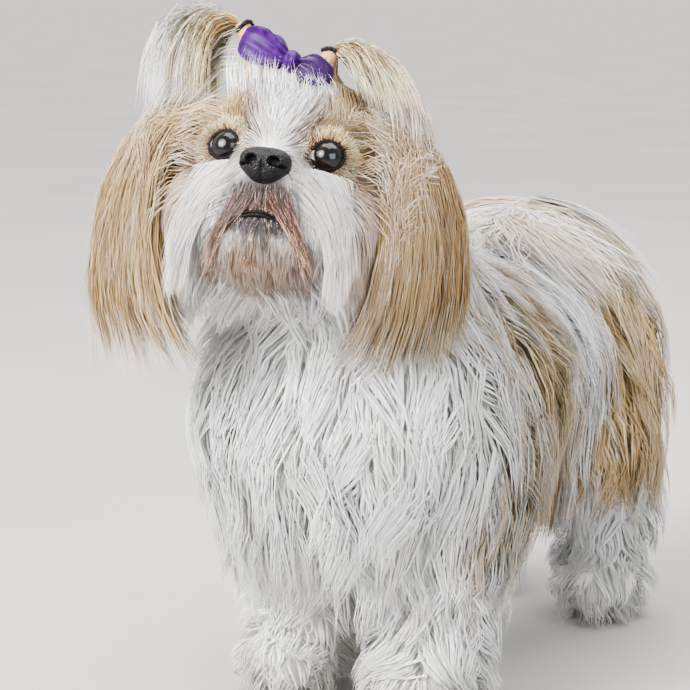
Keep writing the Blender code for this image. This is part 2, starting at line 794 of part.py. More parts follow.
def tail_core(radius):
    shares = np.linspace(0, 1, 8)
    path = [tail_point(s) for s in shares]
    radii = [radius * (1 - 0.55 * s) for s in shares]
    radii[-1] *= 0.5
    return swept_tube("tail", round_rings(path, radii, 7))


LOCK_PROFILE = (0.75, 1.00, 0.90, 0.60)
FLOOR_CLEARANCE = 0.005
FLOOR_GAP = 0.001
BACK_LOCK = (0.070, 0.031, 0.0055, 0.015, 0.008)
FLANK_LOCK = (0.074, 0.032, 0.0055, 0.016, 0.008)
CHEST_LOCK = (0.074, 0.032, 0.0055, 0.016, 0.008)
NECK_LOCK = (0.058, 0.031, 0.0055, 0.014, 0.008)
LEG_LOCK = (0.048, 0.029, 0.0050, 0.012, 0.008)
CROWN_LOCK = (0.028, 0.016, 0.0035, 0.006, 0.004)
CHEEK_LOCK = (0.036, 0.017, 0.0040, 0.008, 0.004)
MOUSTACHE_LOCK = (0.031, 0.011, 0.0035, 0.007, 0.004)
BEARD_LOCK = (0.030, 0.014, 0.0040, 0.007, 0.004)


def lock(centres, ups, width, thickness):
    """One lock of hair: flat and tapered, its ridge outwards, from a sunk root to a pointed tip."""
    sides = unit(np.cross(unit(np.gradient(centres, axis=0)), ups))
    points = []
    for k, share in enumerate(LOCK_PROFILE):
        half = sides[k] * width * share / 2
        points += [centres[k] - half, centres[k] + half, centres[k] + ups[k] * thickness * share]
    tip = len(points)
    points.append(centres[-1])
    points = [(p[0], p[1], max(p[2], FLOOR_GAP)) for p in points]
    edges = ((0, 1), (1, 2), (2, 0))
    faces = [[0, 1, 2]]
    for first in range(0, tip - 3, 3):
        faces += [[first + a, first + b, first + 3 + b, first + 3 + a] for a, b in edges]
    faces += [[tip - 3 + a, tip - 3 + b, tip] for a, b in edges]
    return mesh_object("lock", points, faces)


def comb(root, lie, length, lift, sink):
    """The centreline and ridge directions of locks combed over the flesh from an array of roots."""
    normals = slope(root)
    at = root.copy()
    centres, ups = [root - normals * sink], [normals]
    steps = len(LOCK_PROFILE)
    for k in range(1, steps + 1):
        normals = slope(at)
        way = unit(lie(at, normals))
        way = unit(way - np.minimum((way * normals).sum(1), 0)[:, None] * normals)
        at = at + way * (length / steps)[:, None]
        lack = np.maximum(lift * k / steps - field(at), 0)
        at = at + slope(at) * lack[:, None]
        at[:, 2] = np.maximum(at[:, 2], FLOOR_CLEARANCE)
        centres.append(at.copy())
        ups.append(unit(ups[-1] + normals))
    return np.stack(centres, 1), np.stack(ups, 1)


def varied_lock(centres, ups, width, thickness, rng, wave):
    """A lock with its own slight wave, roll and width."""
    sides = unit(np.cross(unit(np.gradient(centres, axis=0)), ups))
    swing = wave * np.sin(rng.uniform(0, 6.28) + np.linspace(0, 5.0, len(centres)))
    centres = centres + sides * (swing * np.linspace(0, 1, len(centres)))[:, None]
    ups = unit(ups + sides * rng.normal(0.12, 0.10))
    return lock(centres, ups, width * rng.uniform(0.88, 1.12), thickness)


def combed_locks(roots, lie, size, rng):
    """Locks from their roots; size gives length, width, thickness, lift and sink in metres."""
    length, width, thickness, lift, sink = size
    drift = rng.normal(0, 0.09, (len(roots), 3))
    lengths = length * rng.uniform(0.85, 1.15, len(roots))
    lifts = lift * rng.uniform(0.92, 1.08, len(roots))
    centres, ups = comb(roots, lambda p, n: unit(lie(p, n)) + drift, lengths, lifts, sink)
    return [varied_lock(c, u, width, thickness, rng, 0.06 * length) for c, u in zip(centres, ups)]


def upright_rows(axis, heights, headings, count, reach=0.3):
    """Staggered rows of roots round an upright axis; heading 0 looks forward and 90 to the left."""
    rows = []
    for row, z in enumerate(heights):
        share = (np.arange(count) + 0.25 + 0.5 * (row % 2)) / count
        heading = np.radians(headings[0] + (headings[1] - headings[0]) * share)
        ways = np.stack([np.sin(heading), -np.cos(heading), np.zeros(count)], 1)
        rows.append(surface_hits(np.array((*axis, z)), ways, reach))
    return np.concatenate(rows)


def back_rows(y_low, y_high, count, tilts):
    """Staggered rows of roots along the trunk; a tilt of 0 is the spine and 90 the flank."""
    rows = []
    for row, tilt in enumerate(tilts):
        ys = y_low + (y_high - y_low) * (np.arange(count) + 0.25 + 0.5 * (row % 2)) / count
        angle = math.radians(tilt)
        for side in (1, -1):
            origins = np.stack([np.zeros(count), ys, np.full(count, TRUNK_Z - 0.015)], 1)
            ways = np.tile((side * math.sin(angle), 0, math.cos(angle)), (count, 1))
            rows.append(surface_hits(origins, ways))
    return np.concatenate(rows)


def owner(point):
    """The name of the body node that holds a point of the flesh below the head."""
    x, y, z = point
    if behind(point, NECK_TOP) > 0:
        return "head"
    if behind(point, NECK_BASE) > 0:
        return "neck"
    side = "left" if x > 0 else "right"
    for name, box in (("leg_front_", FRONT_LEG_BOX), ("leg_hind_", HIND_LEG_BOX)):
        if box[0][1] < y < box[1][1] and z < box[1][2]:
            return name + side
    if y < CHEST_BACK_Y:
        return "chest"
    return "rump" if y > RUMP_FRONT_Y else "torso"


def behind(point, plane):
    """How far a point lies past a plane, along its normal."""
    return float((np.array(point) - np.array(plane[0])) @ unit(np.array(plane[1], float)))


def trunk_lie(p, n):
    """Down the flanks from a parting on the spine, and a little back."""
    side = np.sign(p[:, 0]) * np.exp(-((p[:, 0] / 0.05) ** 2))
    return np.stack([1.2 * side, np.full(len(p), 0.28), np.full(len(p), -1.0)], 1)


def chest_lie(p, n):
    """Down the breast, spreading from its middle."""
    return np.stack([4.0 * p[:, 0] - 0.10, 0.10 + 0 * p[:, 0], -1.0 + 0 * p[:, 0]], 1)


def rump_lie(p, n):
    return np.stack([2.0 * p[:, 0], 0.25 + 0 * p[:, 0], -1.0 + 0 * p[:, 0]], 1)


def leg_lie(p, n):
    """Down, standing off a little from the leg."""
    return np.array((0, 0, -1.0)) + 0.25 * n


def neck_lie(p, n):
    return np.array((0, 0, -1.0)) + 0.15 * n


LEG_REACH = 0.040


def coat_roots():
    """Every root of the body coat with its lie and the size of its locks, listed by the node that holds it."""
    right_y = FRONT_LEG_Y + RIGHT_STEP_BACK
    hind_y = HIND_LEG_Y + 0.008
    patches = [
        (back_rows(-0.080, 0.185, 7, (16, 48)), trunk_lie, BACK_LOCK),
        (back_rows(-0.052, 0.080, 4, (74, 100)), trunk_lie, FLANK_LOCK),
        (upright_rows((0, -0.085), (0.220, 0.190, 0.157, 0.124), (-118, 118), 8), chest_lie, CHEST_LOCK),
        (upright_rows((0, 0.105), (0.214, 0.176, 0.140), (62, 298), 8), rump_lie, FLANK_LOCK),
        (upright_rows((0, -0.105), (0.292, 0.262, 0.232), (-170, 170), 8), neck_lie, NECK_LOCK),
    ]
    for x, y in ((FRONT_LEG_X, FRONT_LEG_Y), (-FRONT_LEG_X, right_y)):
        patches.append((upright_rows((x, y), (0.098, 0.066, 0.036), (0, 360), 5, LEG_REACH), leg_lie, LEG_LOCK))
    for x in (HIND_LEG_X, -HIND_LEG_X):
        patches.append((upright_rows((x, hind_y), (0.100, 0.068, 0.036), (0, 360), 5, LEG_REACH), leg_lie, LEG_LOCK))
    found = {}
    for roots, lie, size in patches:
        for root in roots:
            found.setdefault(owner(root), []).append((root, lie, size))
    found.pop("head", None)
    return found


def body_locks(entries, rng):
    """The locks of one body node, combed patch by patch."""
    made = []
    kinds = []
    for _, lie, size in entries:
        if (lie, size) not in kinds:
            kinds.append((lie, size))
    for lie, size in kinds:
        roots = np.array([root for root, l, s in entries if l is lie and s is size])
        made += combed_locks(roots, lie, size, rng)
    return made


HEAD_ROWS = np.array((0.0, -0.008, -0.006))


def head_roots(heading_list, elevation):
    """Roots on the head at headings off its face and one elevation, in degrees."""
    heading = np.radians(np.array(heading_list, float))
    up = math.radians(elevation)
    ways = np.stack([np.sin(heading) * math.cos(up), -np.cos(heading) * math.cos(up), np.full(len(heading), math.sin(up))], 1)
    turn = np.array(HEAD.to_3x3())
    return surface_hits(head_point(*HEAD_ROWS), ways @ turn.T, 0.12)


def local(points):
    """World points in the head's own frame."""
    inverse = np.array(HEAD.inverted())
    return points @ inverse[:3, :3].T + inverse[:3, 3]


def in_head(lie):
    """Turns a lie written in the head's frame into one for world points."""
    turn = np.array(HEAD.to_3x3())
    return lambda p, n: lie(local(p)) @ turn.T


def crown_lie(q):
    """Up and back over the forehead, away from the middle."""
    return np.stack([6.0 * q[:, 0], 0.5 + 0 * q[:, 0], 1.0 - 18.0 * np.maximum(q[:, 2], 0)], 1)


def side_lie(q):
    """Out and down beside the eyes and over the foot of the ears."""
    return np.stack([0.55 * np.sign(q[:, 0]), 0.30 + 0 * q[:, 0], -1.0 + 0 * q[:, 0]], 1)


def moustache_lie(q):
    """From beside the nose outwards and down."""
    return np.stack([14.0 * q[:, 0], 0.10 + 0 * q[:, 0], -1.0 + 0 * q[:, 0]], 1)


def beard_lie(q):
    return np.stack([5.0 * q[:, 0], -0.05 + 0 * q[:, 0], -1.0 + 0 * q[:, 0]], 1)


def head_locks(rng):
    """Locks of the crown, cheeks, muzzle and beard, listed by node."""
    both_ways = lambda values: [s * v for v in values for s in (1, -1)]
    crown = [head_roots((-40, -13, 13, 40), 36), head_roots((-80, -27, 27, 80), 60), head_roots((-150, 150, -110, 110), 56)]
    side = [head_roots((68, -68), 26), head_roots((62, -62), -2), head_roots((58, -58), -30),
            head_roots((150, -150, 180), 20)]
    moustache = [head_roots(both_ways((14, 34)), -12), head_roots(both_ways((24, 42)), -26)]
    beard = [head_roots((-36, -12, 12, 36), -44), head_roots((-44, -15, 15, 44), -62)]
    head = combed_locks(np.concatenate(crown), in_head(crown_lie), CROWN_LOCK, rng)
    head += combed_locks(np.concatenate(side), in_head(side_lie), CHEEK_LOCK, rng)
    muzzle = combed_locks(np.concatenate(moustache), in_head(moustache_lie), MOUSTACHE_LOCK, rng)
    jaw = combed_locks(np.concatenate(beard), in_head(beard_lie), BEARD_LOCK, rng)
    return {"head": head, "muzzle": muzzle, "lower_jaw": jaw}


EAR_STATIONS = (0.0, 0.35, 0.70, 0.94, 1.0)
EAR_LOCK_WIDTH = 0.021
EAR_LOCK_THICKNESS = 0.0055
EAR_ROWS = ((5, 0.04, 0.68, -0.0025), (6, 0.38, 1.05, -0.0050), (3, 0.45, 1.01, -0.0170))


def ear_locks(side, rng):
    """Long locks hanging from the ear: two rows outside and one inside, cut off level at the hem."""
    made = []
    for row, (count, start, end, lift) in enumerate(EAR_ROWS):
        for k in range(count):
            along = (k + 0.25 + 0.5 * (row % 2)) / count
            hem = end * rng.uniform(0.96, 1.03)
            centres, ups = [], []
            for share in EAR_STATIONS:
                point, normal = ear_frame(side, along, start + (hem - start) * share)
                facing = 1 if row < 2 else -1
                sink = 0.008 * (1 - share) ** 2
                centres.append(point + normal * (lift - facing * sink))
                ups.append(normal * facing)
            made.append(varied_lock(np.array(centres), np.array(ups), EAR_LOCK_WIDTH, EAR_LOCK_THICKNESS, rng, 0.003))
    return made


PLUME_LOCK_WIDTH = 0.015
PLUME_LOCK_THICKNESS = 0.0045


def plume_locks(side, rng):
    """Locks fanning out of the band and over, in two layers."""
    made = []
    for depth, count in ((-0.7, 3), (0.7, 2)):
        for k in range(count):
            spread = (k + 0.5) / count
            hem = rng.uniform(0.92, 1.06)
            centres = [plume_strand(side, spread, depth, hem * s) for s in np.linspace(0.06, 1, len(LOCK_PROFILE) + 1)]
            up = head_direction(0, depth, 0.2)
            ups = np.tile(up, (len(centres), 1))
            made.append(varied_lock(np.array(centres), ups, PLUME_LOCK_WIDTH, PLUME_LOCK_THICKNESS, rng, 0.002))
    return made


TAIL_LOCK_WIDTH = 0.023
TAIL_LOCK_THICKNESS = 0.005
TAIL_FALL = ((0.000, 0.000), (0.016, 0.006), (0.032, -0.002), (0.045, -0.018), (0.054, -0.036))


def tail_locks(rng):
    """Long locks falling off both sides of the curled tail onto the back."""
    made = []
    for row, share in enumerate(np.linspace(0.25, 0.97, 7)):
        root = tail_point(share)
        for side in (1, -1):
            reach = rng.uniform(0.85, 1.10)
            sweep = 0.014 * (0.5 - share) + rng.normal(0, 0.004)
            centres = []
            for k, (out, rise) in enumerate(TAIL_FALL):
                t = k / (len(TAIL_FALL) - 1)
                centres.append(root + np.array((side * out * reach, -sweep * t * 3, rise * reach)))
            centres = np.array(centres)
            lack = np.maximum(0.017 - field(centres[1:]), 0)
            centres[1:] += slope(centres[1:]) * lack[:, None]
            ups = unit(slope(centres) + np.array((0, 0, 1.0)))
            made.append(varied_lock(centres, ups, TAIL_LOCK_WIDTH, TAIL_LOCK_THICKNESS, rng, 0.003))
    return made


COLOURS = {
    "head": (0.80, 0.68, 0.52),
    "muzzle": (0.84, 0.76, 0.66),
    "lower_jaw": (0.62, 0.44, 0.30),
    "neck": (0.80, 0.74, 0.66),
    "chest": (0.84, 0.83, 0.82),
    "torso": (0.80, 0.64, 0.44),
    "rump": (0.74, 0.55, 0.33),
    "tail": (0.86, 0.82, 0.74),
    "leg_front": (0.82, 0.82, 0.82),
    "leg_hind": (0.78, 0.76, 0.73),
    "ear": (0.66, 0.45, 0.27),
    "topknot": (0.78, 0.66, 0.50),
    "nose": (0.02, 0.02, 0.022),
    "eye": (0.03, 0.017, 0.010),
    "hair_band": (0.02, 0.02, 0.024),
    "bow": (0.24, 0.14, 0.34),
}
SHINE = {"nose": 0.35, "eye": 0.06, "bow": 0.30}


def paint(obj):
    """Gives a node its own plain material, looked up by the start of its name."""
    key = next(k for k in COLOURS if obj.name.startswith(k))
    material = bpy.data.materials.new(obj.name)
    material.use_nodes = True
    shader = material.node_tree.nodes["Principled BSDF"]
    shader.inputs["Base Color"].default_value = (*COLOURS[key], 1)
    shader.inputs["Roughness"].default_value = SHINE.get(key, 0.8)
    shader.inputs["Metallic"].default_value = 0.0
    obj.data.materials.clear()
    obj.data.materials.append(material)
    for polygon in obj.data.polygons:
        polygon.material_index = 0
    obj.data.name = obj.name


def centre_on_floor(nodes):
    """Shifts every mesh so that the whole stands on z = 0 with its box centred on the origin."""
    boxes = [bounds(obj) for obj in nodes]
    low = np.min([b[0] for b in boxes], axis=0)
    high = np.max([b[1] for b in boxes], axis=0)
    shift = Vector((-(low[0] + high[0]) / 2, -(low[1] + high[1]) / 2, -low[2]))
    for obj in nodes:
        obj.data.transform(Matrix.Translation(shift))


def finish(obj, locks, finished):
    """Fuses a node's locks to it, cuts it clear of the finished nodes and keeps its one body."""
    if locks:
        join_pieces(obj, locks)
        largest_shell(obj)
        thin(obj)
    for other in finished:
        if near(obj, other):
            for amount in (CUT_GROWTH, 0.0):
                boolean(obj, grown(other, amount), "DIFFERENCE", "MANIFOLD")
    largest_shell(obj)
    finished.append(obj)


def main():
    clear_scene()
    rng = np.random.default_rng(SEED)
    nodes = {"nose": nose_core(), "bow_knot": bow_knot()}
    for side, word in ((1, "left"), (-1, "right")):
        nodes["hair_band_" + word] = band_core(side, "hair_band_" + word)
        nodes["bow_loop_" + word] = bow_loop(side, "bow_loop_" + word)
    locks = head_locks(rng)
    for side, word in ((1, "left"), (-1, "right")):
        nodes["ear_" + word] = ear_core(side, "ear_" + word, 0.008, 0.8)
        locks["ear_" + word] = ear_locks(side, rng)
    nodes.update(head_cores())
    for side, word in ((1, "left"), (-1, "right")):
        nodes["topknot_" + word] = topknot_core(side, "topknot_" + word, 0.6, 0.009)
        locks["topknot_" + word] = plume_locks(side, rng)
    nodes["tail"] = tail_core(TAIL_RADIUS)
    locks["tail"] = tail_locks(rng)
    cores = body_cores(flesh_object("flesh", FLESH, 0.0, 0.006, BODY_TRIANGLES))
    roots = coat_roots()
    for name in ("neck", "chest", "torso", "rump", "leg_front_left", "leg_front_right",
                 "leg_hind_left", "leg_hind_right"):
        nodes[name] = cores[name]
        locks[name] = body_locks(roots[name], rng)
    finished = []
    for name, obj in nodes.items():
        obj.name = name
        finish(obj, locks.get(name, []), finished)
    centre_on_floor(finished)
    for obj in finished:
        paint(obj)


main()
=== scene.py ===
"""A shih tzu standing in long coat: skin, eyes, nose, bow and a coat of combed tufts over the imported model.

Metres. Everything is worked out in the design frame of the dog, where its paws stand on z = 0, its face
points to -Y and its left side is +X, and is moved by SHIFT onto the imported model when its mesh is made.
"""

import math

import bmesh
import bpy
import numpy as np
from mathutils import Matrix, Vector
from mathutils.bvhtree import BVHTree
from mathutils.kdtree import KDTree


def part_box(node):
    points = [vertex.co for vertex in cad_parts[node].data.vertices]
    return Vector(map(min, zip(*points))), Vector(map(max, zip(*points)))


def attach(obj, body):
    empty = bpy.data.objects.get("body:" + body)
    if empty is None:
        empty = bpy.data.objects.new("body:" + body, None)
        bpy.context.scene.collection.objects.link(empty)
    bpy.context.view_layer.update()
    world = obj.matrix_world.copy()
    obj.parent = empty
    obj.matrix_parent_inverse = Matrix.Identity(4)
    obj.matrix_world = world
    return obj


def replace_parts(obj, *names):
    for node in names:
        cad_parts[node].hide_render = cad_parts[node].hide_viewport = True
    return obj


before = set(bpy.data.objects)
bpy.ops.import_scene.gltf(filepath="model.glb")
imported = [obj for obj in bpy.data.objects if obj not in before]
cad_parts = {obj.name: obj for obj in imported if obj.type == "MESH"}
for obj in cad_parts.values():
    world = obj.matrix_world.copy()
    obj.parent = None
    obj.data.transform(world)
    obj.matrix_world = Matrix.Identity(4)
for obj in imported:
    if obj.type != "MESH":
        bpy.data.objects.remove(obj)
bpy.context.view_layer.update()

# Driving dimensions, as in the solids
BACK_TOP = 0.252
TRUNK_Z = BACK_TOP - 0.074
CHEST_HALF_WIDTH = 0.086
RUMP_HALF_WIDTH = 0.085
RUMP_RADIUS_Y = 0.062
TRUNK_FRONT = -0.174
TRUNK_BACK = 0.187
FRONT_LEG = (0.043, -0.098)
RIGHT_STEP_BACK = 0.026
HIND_LEG = (0.053, 0.132)
PAW_HEIGHT = 0.021
HEAD_CENTRE = Vector((-0.008, -0.162, 0.307))
HEAD_YAW, HEAD_PITCH, HEAD_ROLL = 19.0, 19.0, 5.4
EYE_RADIUS = 0.0105
EYE_CENTRE = (0.0243, -0.0318, 0.0010)
EYE_AXIS = (0.25, -0.96, 0.06)
BLEND = 0.007
BOW_KNOT = (-0.0020, -0.024, 0.0510)

# Depth of the skin below the middle of the coat
BODY_SKIN = -0.005
FACE_SKIN = -0.0035
SEED = 20


def turned(axis, degrees):
    return Matrix.Rotation(math.radians(degrees), 4, axis)


LEVEL = Matrix.Translation(HEAD_CENTRE) @ turned("Z", HEAD_YAW)
HEAD = LEVEL @ turned("X", -HEAD_PITCH) @ turned("Y", HEAD_ROLL)
HEAD_TURN = np.array(HEAD.to_3x3())
HEAD_INVERSE = np.array(HEAD.inverted())


def unit(v):
    return v / (np.linalg.norm(v, axis=-1, keepdims=True) + 1e-12)


def smooth(low, high, value):
    """0 below low, 1 above high, and a smooth step between."""
    share = np.clip((value - low) / (high - low), 0, 1)
    return share * share * (3 - 2 * share)


def to_head(points):
    return points @ HEAD_INVERSE[:3, :3].T + HEAD_INVERSE[:3, 3]


def head_share(local):
    """1 on the head with its muzzle and chin, 0 beyond them, for head-local points."""
    return smooth(0.080, 0.067, np.linalg.norm(local - np.array((0, -0.016, -0.018)), axis=1))


def placed(matrix, points):
    """Local points carried to the world by a matrix."""
    matrix = np.array(matrix)
    return np.asarray(points) @ matrix[:3, :3].T + matrix[:3, 3]


KNOT_LOW, KNOT_HIGH = (np.array(corner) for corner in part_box("bow_knot"))
SHIFT = (KNOT_LOW + KNOT_HIGH) / 2 - placed(HEAD, BOW_KNOT)


# Flesh: a rounded field of balls and limbs, zero in the middle of the coat
def ball(centre, radii, head=False):
    return {"kind": "ball", "centre": centre, "radii": radii, "head": head}


def limb(start, end, start_radius, end_radius):
    return {"kind": "limb", "start": start, "end": end, "r0": start_radius, "r1": end_radius, "head": False}


def both(form):
    """A form and its mirror image across the dog's middle."""
    twin = dict(form)
    for key in ("centre", "start", "end"):
        if key in form:
            x, y, z = form[key]
            twin[key] = (-x, y, z)
    return [form, twin]


def front_leg_forms(side, step_back):
    x, y = FRONT_LEG[0], FRONT_LEG[1] + step_back
    paw = (side * (x + 0.3 * step_back), y - 0.010 - 0.1 * step_back, PAW_HEIGHT)
    return [
        limb((side * 0.050, -0.088 + 0.3 * step_back, 0.140), (side * x, y, 0.045), 0.034, 0.030),
        ball(paw, (0.031, 0.038, 0.023)),
    ]


def flesh_forms():
    forms = [
        ball((0, -0.045, TRUNK_Z), (CHEST_HALF_WIDTH, 0.100, 0.074)),
        ball((0, TRUNK_FRONT + 0.062, TRUNK_Z - 0.003), (CHEST_HALF_WIDTH, 0.062, 0.076)),
        ball((0, 0.050, TRUNK_Z + 0.002), (0.074, 0.100, 0.068)),
        ball((0, TRUNK_BACK - RUMP_RADIUS_Y, TRUNK_Z + 0.002), (RUMP_HALF_WIDTH, RUMP_RADIUS_Y, 0.072)),
        limb((0, -0.078, 0.205), (-0.002, -0.135, 0.285), 0.062, 0.054),
        ball((0, 0.004, 0.003), (0.050, 0.052, 0.042), head=True),
        ball((0, -0.038, -0.017), (0.030, 0.022, 0.019), head=True),
        ball((0, -0.032, -0.045), (0.031, 0.026, 0.022), head=True),
    ]
    forms += both(ball((0.054, -0.085, 0.150), (0.036, 0.050, 0.064)))
    forms += both(ball((0.050, 0.112, 0.140), (0.038, 0.050, 0.058)))
    forms += both(ball((0.030, -0.013, -0.030), (0.026, 0.032, 0.032), head=True))
    forms += front_leg_forms(1, 0.0) + front_leg_forms(-1, RIGHT_STEP_BACK)
    hock = (HIND_LEG[0], HIND_LEG[1] + 0.012, 0.072)
    forms += both(limb((0.052, 0.105, 0.130), hock, 0.037, 0.026))
    forms += both(limb(hock, (HIND_LEG[0], HIND_LEG[1] + 0.004, 0.030), 0.026, 0.023))
    forms += both(ball((HIND_LEG[0], HIND_LEG[1] - 0.002, PAW_HEIGHT), (0.026, 0.034, 0.022)))
    return forms


FLESH = flesh_forms()


def form_distance(form, points):
    """Signed distance from points to one form, close to true near its surface."""
    if form["head"]:
        points = to_head(points)
    if form["kind"] == "ball":
        radii = np.array(form["radii"])
        local = points - np.array(form["centre"])
        scaled = np.linalg.norm(local / radii, axis=1) + 1e-9
        steepness = np.linalg.norm(local / radii**2, axis=1) + 1e-9
        return scaled * (scaled - 1) / steepness
    start = np.array(form["start"])
    along = np.array(form["end"]) - start
    share = np.clip((points - start) @ along / (along @ along), 0, 1)
    radius = form["r0"] + (form["r1"] - form["r0"]) * share
    return np.linalg.norm(points - start - share[:, None] * along, axis=1) - radius


def field(points):
    """Signed distance to the rounded union of the forms: negative inside."""
    total = sum(np.exp(-np.clip(form_distance(f, points), -0.2, 0.5) / BLEND) for f in FLESH)
    return -BLEND * np.log(total + 1e-300)


def slope(points):
    """Unit outward normals of the field at points."""
    step = 0.0006
    here = field(points)
    return unit(np.stack([field(points + s) - here for s in np.eye(3) * step], axis=1))


def eye_centre(side):
    return placed(HEAD, (side * EYE_CENTRE[0], EYE_CENTRE[1], EYE_CENTRE[2]))


def eye_axis(side):
    return unit(HEAD_TURN @ np.array((side * EYE_AXIS[0], EYE_AXIS[1], EYE_AXIS[2])))


def eye_offsets(points, side):
    """How far points lie before an eye's centre along its axis, and how far beside the axis."""
    away = points - eye_centre(side)
    along = away @ eye_axis(side)
    return along, np.linalg.norm(away - along[:, None] * eye_axis(side), axis=1)


def skin_level(points):
    """The field's level of the skin: shallow on the face, deeper in coat, bowled round the eyes."""
    local = to_head(points)
    on_face = smooth(0.020, -0.015, local[:, 1]) * head_share(local)
    level = BODY_SKIN + (FACE_SKIN - BODY_SKIN) * on_face
    for side in (1, -1):
        along, beside = eye_offsets(points, side)
        level -= 0.0075 * smooth(0.0155, 0.0070, beside) * (along > -0.01)
    return level


# Mesh helpers
def new_piece(name, mesh, material):
    """Adds a mesh made in the design frame to the model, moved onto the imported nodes."""
    mesh.transform(Matrix.Translation(Vector(SHIFT)))
    mesh.materials.append(material)
    piece = bpy.data.objects.new(name, mesh)
    bpy.context.scene.collection.objects.link(piece)
    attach(piece, "root")
    return piece


def smooth_shading(mesh):
    mesh.polygons.foreach_set("use_smooth", np.ones(len(mesh.polygons), bool))
    mesh.update()


def mesh_of(name, points, faces):
    mesh = bpy.data.meshes.new(name)
    mesh.from_pydata([tuple(p) for p in points], [], [tuple(f) for f in faces])
    bm = bmesh.new()
    bm.from_mesh(mesh)
    bmesh.ops.recalc_face_normals(bm, faces=bm.faces)
    bm.to_mesh(mesh)
    bm.free()
    smooth_shading(mesh)
    return mesh


def ring_faces(rings, sides, wrap=False):
    """Faces between rings of points that are listed one after another."""
    faces = []
    for k in range(rings if wrap else rings - 1):
        n = (k + 1) % rings
        for a in range(sides):
            b = (a + 1) % sides
            faces.append((k * sides + a, k * sides + b, n * sides + b, n * sides + a))
    return faces


def tube_mesh(name, path, radii, sides=10, wrap=False):
    """A round tube along a path, with a radius at each of its points."""
    path = np.array(path, float)
    steps = np.roll(path, -1, 0) - np.roll(path, 1, 0) if wrap else np.gradient(path, axis=0)
    across = unit(np.cross(unit(steps), (0.31, 0.17, 0.93)))
    other = np.cross(unit(steps), across)
    turns = np.arange(sides) * 2 * math.pi / sides
    rings = [c + r * (np.cos(turns)[:, None] * a + np.sin(turns)[:, None] * b)
             for c, r, a, b in zip(path, radii, across, other)]
    faces = ring_faces(len(path), sides, wrap=wrap)
    if not wrap:
        faces += [tuple(range(sides)), tuple(range(len(path) * sides - sides, len(path) * sides))]
    return mesh_of(name, np.concatenate(rings), faces)


# Ears, topknots and tail: curves that their hair follows
EAR_PUFF = {1: 0.90, -1: 1.07}
EAR_FRONT = ((0.046, -0.020, 0.020), (0.060, -0.034, 0.000), (0.064, -0.044, -0.052), (0.035, -0.046, -0.088))
EAR_SIDE = ((0.044, 0.004, 0.032), (0.091, 0.004, 0.031), (0.1025, 0.000, -0.035), (0.091, -0.004, -0.088))
EAR_BACK = ((0.038, 0.028, 0.020), (0.062, 0.046, 0.010), (0.080, 0.052, -0.040), (0.068, 0.044, -0.088))


def three_point(a, b, c, share):
    """The smooth curve through a, b and c at shares 0, 0.5 and 1."""
    return a * (1 - share) * (1 - 2 * share) + b * 4 * share * (1 - share) + c * share * (2 * share - 1)


def ear_sheet(side, along, fall):
    """Points of the ear's hair sheet: along runs from its front edge to its back, fall from root to hem."""
    along, fall = np.asarray(along)[..., None], np.asarray(fall)[..., None]
    width = np.array((side * EAR_PUFF[side], 1, 1))
    handles = []
    for k in range(4):
        frame = HEAD if k < 2 else LEVEL
        rows = [placed(frame, np.array(row[k]) * width) for row in (EAR_FRONT, EAR_SIDE, EAR_BACK)]
        handles.append(three_point(*rows, along))
    a, b, c, d = handles
    back = 1 - fall
    return a * back**3 + 3 * b * back**2 * fall + 3 * c * back * fall**2 + d * fall**3


def ear_normal(side, along, fall):
    here = ear_sheet(side, along, fall)
    beside = ear_sheet(side, along + 0.02, fall) - here
    below = ear_sheet(side, along, fall + 0.02) - here
    return unit(np.cross(below, beside)) * side


CROWN = {1: (0.006, 0.002, 0.034), -1: (-0.013, -0.002, 0.034)}
BAND = {1: (0.0135, -0.004, 0.0655), -1: (-0.0353, -0.004, 0.0740)}
PLUME_MIDDLE = {1: ((0.025, 0, 0.060), (0.043, 0, 0.060)), -1: ((-0.049, 0, 0.066), (-0.070, 0, 0.071))}
PLUME_TIP = {1: ((0.034, 0, 0.038), (0.064, 0, 0.036)), -1: ((-0.048, 0, 0.033), (-0.078, 0, 0.033))}
PLUME_DEPTH = 0.014
TAIL_PATH = ((0, 0.158, 0.222), (0, 0.186, 0.244), (0, 0.166, 0.260),
             (0.004, 0.118, 0.266), (0.010, 0.062, 0.262))


def plume_point(side, spread, depth, fall):
    """Points of a topknot's plume: spread inner to outer, depth front to back, fall from band to tip."""
    spread, depth, fall = (np.asarray(v)[..., None] for v in (spread, depth, fall))
    middle, tip = (np.array(ends[side]) for ends in (PLUME_MIDDLE, PLUME_TIP))
    shift = depth * np.array((0, PLUME_DEPTH, 0))
    middle = middle[0] * (1 - spread) + middle[1] * spread + shift
    tip = tip[0] * (1 - spread) + tip[1] * spread + 1.4 * shift
    return placed(HEAD, three_point(np.array(BAND[side]), middle, tip, fall))


def tail_curve(share):
    """Points on the tail's curve over the back, from root to tip."""
    path = np.array(TAIL_PATH)
    place = np.clip(share, 0, 1) * (len(path) - 1)
    first = np.clip(place.astype(int), 0, len(path) - 2)
    rest = (place - first)[..., None]
    before, after = path[np.maximum(first - 1, 0)], path[np.minimum(first + 2, len(path) - 1)]
    a, b = path[first], path[first + 1]
    return 0.5 * (2 * a + (b - before) * rest + (2 * before - 5 * a + 4 * b - after) * rest**2
                  + (3 * a - before - 3 * b + after) * rest**3)


# Colours of the coat
def rgb(red, green, blue):
    """A screen colour in 0 to 255 as a linear one."""
    value = np.array((red, green, blue)) / 255
    return np.where(value < 0.04045, value / 12.92, ((value + 0.055) / 1.055) ** 2.4)


